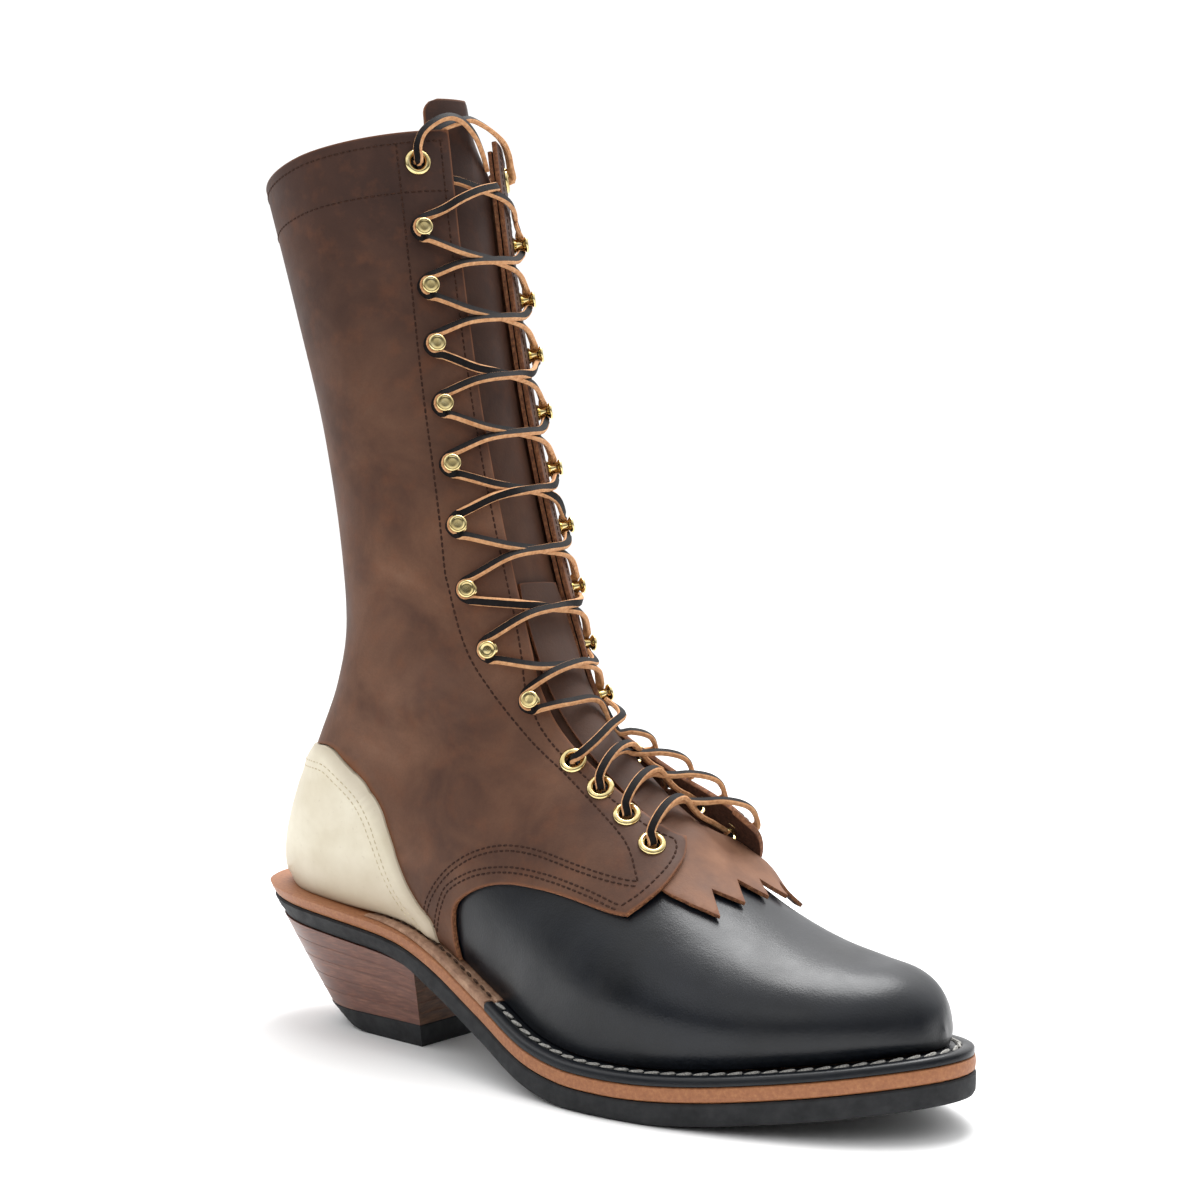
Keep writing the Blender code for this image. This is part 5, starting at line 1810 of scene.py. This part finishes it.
def hook_turn(number, side):
    """Round the outer side of a hook's post, coming from below."""
    spot, normal = HOOK_SPOTS[side, number]
    row, turn = HOOKS[number - 1]
    here, above = skin(np.array([row, row + 0.05]), np.full(2, turn), side, GRAIN)
    up = (above - here) / np.linalg.norm(above - here)
    outer = np.cross(up, normal)
    outer *= 1.0 if outer[1] * side > 0.0 else -1.0
    route = []
    for inner, rise in HOOK_LOOP:
        way = rise * up - inner * outer
        tilt = LEG_TILTS[number - 1][0 if rise < 0.0 else 1]
        grain = normal + tilt * up if inner > 0.0 else way / np.linalg.norm(way) + 0.3 * normal
        route.append((spot + LOOP_OUT * normal + way, grain))
    return route


LEG_AWAY, LEG_RISE = 0.52, 0.80
# Where strands cross between two hooks, as a share of the way up: hook number, share
CROSSING_SHARE = [(1, 0.50), (2, 0.36), (3, 0.38), (4, 0.41), (6, 0.47), (9, 0.50)]


def leg(number, side, crossing, above):
    """Part of the way between a hook and the row where the strands cross."""
    row = HOOKS[number - 1][0]
    away = LEG_AWAY * side * abs(HOOK_SPOTS[side, number][0][1])
    return lace_point(row + LEG_RISE * (crossing - row), away, LEG_OUT, LEG_TILTS[number - 1][above])


def strand(side):
    """A strand from the fourth eyelet up round the hooks, changing sides, to under the top facing."""
    route = led(FAR_WAY[:6], 4, side, FAR_REACH[3]) if side > 0 else led(NEAR_START, 4, side)
    before = EYELETS[3][0] + 0.75
    for number, (row, _) in enumerate(HOOKS, 1):
        crossing = before + (row - before) * follow(CROSSING_SHARE, float(number))
        if number > 1:
            route.append(leg(number - 1, side, crossing, 1))
        if number > 1 or side > 0:
            route.append(lace_point(crossing, CROSSING_AWAY, CROSSING_OUT - CROSSING_STEP * side, 0.7))
        side = -side
        if number > 1 or side < 0:
            route.append(leg(number, side, crossing, 0))
        route += hook_turn(number, side)
        before = row
    end = NEAR_END if side < 0 else FAR_END
    return route + [lace_point(row + up, side * away, out) for up, away, out in end]


for label, side in SIDES.items():
    for number in (1, 2, 3):
        far_way = led(FAR_WAY, number, side, FAR_REACH[number - 1])
        piece, _ = strip("lace_%s_%d" % (label, number), far_way if side > 0 else led(NEAR_WAY, number, side))
        fit(piece, "lace_leather")
laces = [strip("lace_strand_" + label, strand(side))[0] for label, side in SIDES.items()]
fit(laces[0], "lace_leather", "lace")
fit(laces[1], "lace_leather")


# Lace ends: the loose ends of the same flat lace, free cords. Each comes out of a collar eyelet, loops
# over the front and goes back behind the other facing, where it stops.
LACE_TURN = np.array([20.0, 0.0, 346.0])
LACE_ENDS = {
    "lateral": [
        (27.0, -27.5, 348.0),
        (27.3, -25.0, 353.8),
        (29.6, -20.0, 358.6),
        (31.2, -14.0, 361.1),
        (32.3, -8.0, 360.3),
        (32.4, -1.0, 356.0),
        (30.2, 6.0, 350.5),
        (28.0, 11.5, 344.5),
    ],
    "medial": [
        (27.4, 26.5, 347.5),
        (27.8, 24.5, 352.6),
        (28.8, 20.0, 356.8),
        (29.8, 13.0, 359.4),
        (30.2, 6.0, 361.2),
        (30.6, -2.0, 362.0),
        (29.6, -8.0, 360.0),
        (28.3, -13.5, 357.6),
        (26.3, -17.0, 355.0),
        (22.5, -19.0, 350.0),
    ],
}
for label, side in SIDES.items():
    spot, normal = EYELET_SPOTS[side, 5]
    points = [spot + 0.3 * normal, spot + 2.6 * normal, *map(np.array, LACE_ENDS[label])]
    route = [(point, point - LACE_TURN) for point in points]
    route[0] = (points[0], np.array([0.0, 0.3 * side, 1.0]))
    piece, line = strip("lace_end_" + label + "_leather", route)
    fit(piece, "lace_leather", "lace_end_" + label)
    path = line * MM


# Floor and light: a white paper floor, a large soft light over the boot and a weak one beside it.
# The boot's own shine comes from the room, a white wall behind it and a bright ceiling.
LIGHT_AIM = Vector((0.06, 0.0, 0.14))
bpy.ops.mesh.primitive_plane_add(size=12.0, location=(0.0, 0.0, 0.0))
floor = bpy.context.object
floor.name = "floor"
paper = Finish("white_paper", 0.9)
paper.shader.inputs["Base Color"].default_value = (0.86, 0.86, 0.86, 1.0)
floor.data.materials.append(paper.material)
floor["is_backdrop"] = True
LIGHTS = [  # name, place, size, watts
    ("overhead", (0.02, 0.32, 1.20), 0.8, 19.0),
    ("near_side", (0.10, -1.30, 0.85), 0.8, 1.5),
]
for name, place, size, watts in LIGHTS:
    bpy.ops.object.light_add(type="AREA", location=place)
    light = bpy.context.object
    light.name = name
    light.data.size, light.data.energy = size, watts
    light.rotation_euler = (LIGHT_AIM - Vector(place)).to_track_quat("-Z", "Y").to_euler()
# The room: a white wall behind the boot, a bright ceiling and a dimmer side towards the front
WALL_WAY = (-0.616, 0.788, 0.0)
FRONT_LIGHT, WALL_LIGHT, CEILING_LIGHT = 0.12, 1.06, 1.15
world = bpy.data.worlds.new("studio")
bpy.context.scene.world = world
world.use_nodes = True
nodes, links = world.node_tree.nodes, world.node_tree.links
way = nodes.new("ShaderNodeTexCoord").outputs["Generated"]
facing = nodes.new("ShaderNodeVectorMath")
facing.operation = "DOT_PRODUCT"
facing.inputs[1].default_value = WALL_WAY
links.new(way, facing.inputs[0])
split = nodes.new("ShaderNodeSeparateXYZ")
links.new(way, split.inputs["Vector"])
total = nodes.new("ShaderNodeMath")
for slot, value, low, high, dim, bright in (
    (0, facing.outputs["Value"], -0.4, 0.6, FRONT_LIGHT, WALL_LIGHT),
    (1, split.outputs["Z"], 0.12, 0.85, 0.0, CEILING_LIGHT),
):
    fade = nodes.new("ShaderNodeMapRange")
    fade.interpolation_type = "SMOOTHSTEP"
    for name, number in zip(("From Min", "From Max", "To Min", "To Max"), (low, high, dim, bright)):
        fade.inputs[name].default_value = number
    links.new(value, fade.inputs["Value"])
    links.new(fade.outputs["Result"], total.inputs[slot])
links.new(total.outputs["Value"], nodes["Background"].inputs["Strength"])
nodes["Background"].inputs["Color"].default_value = (1.0, 1.0, 1.0, 1.0)

low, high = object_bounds()
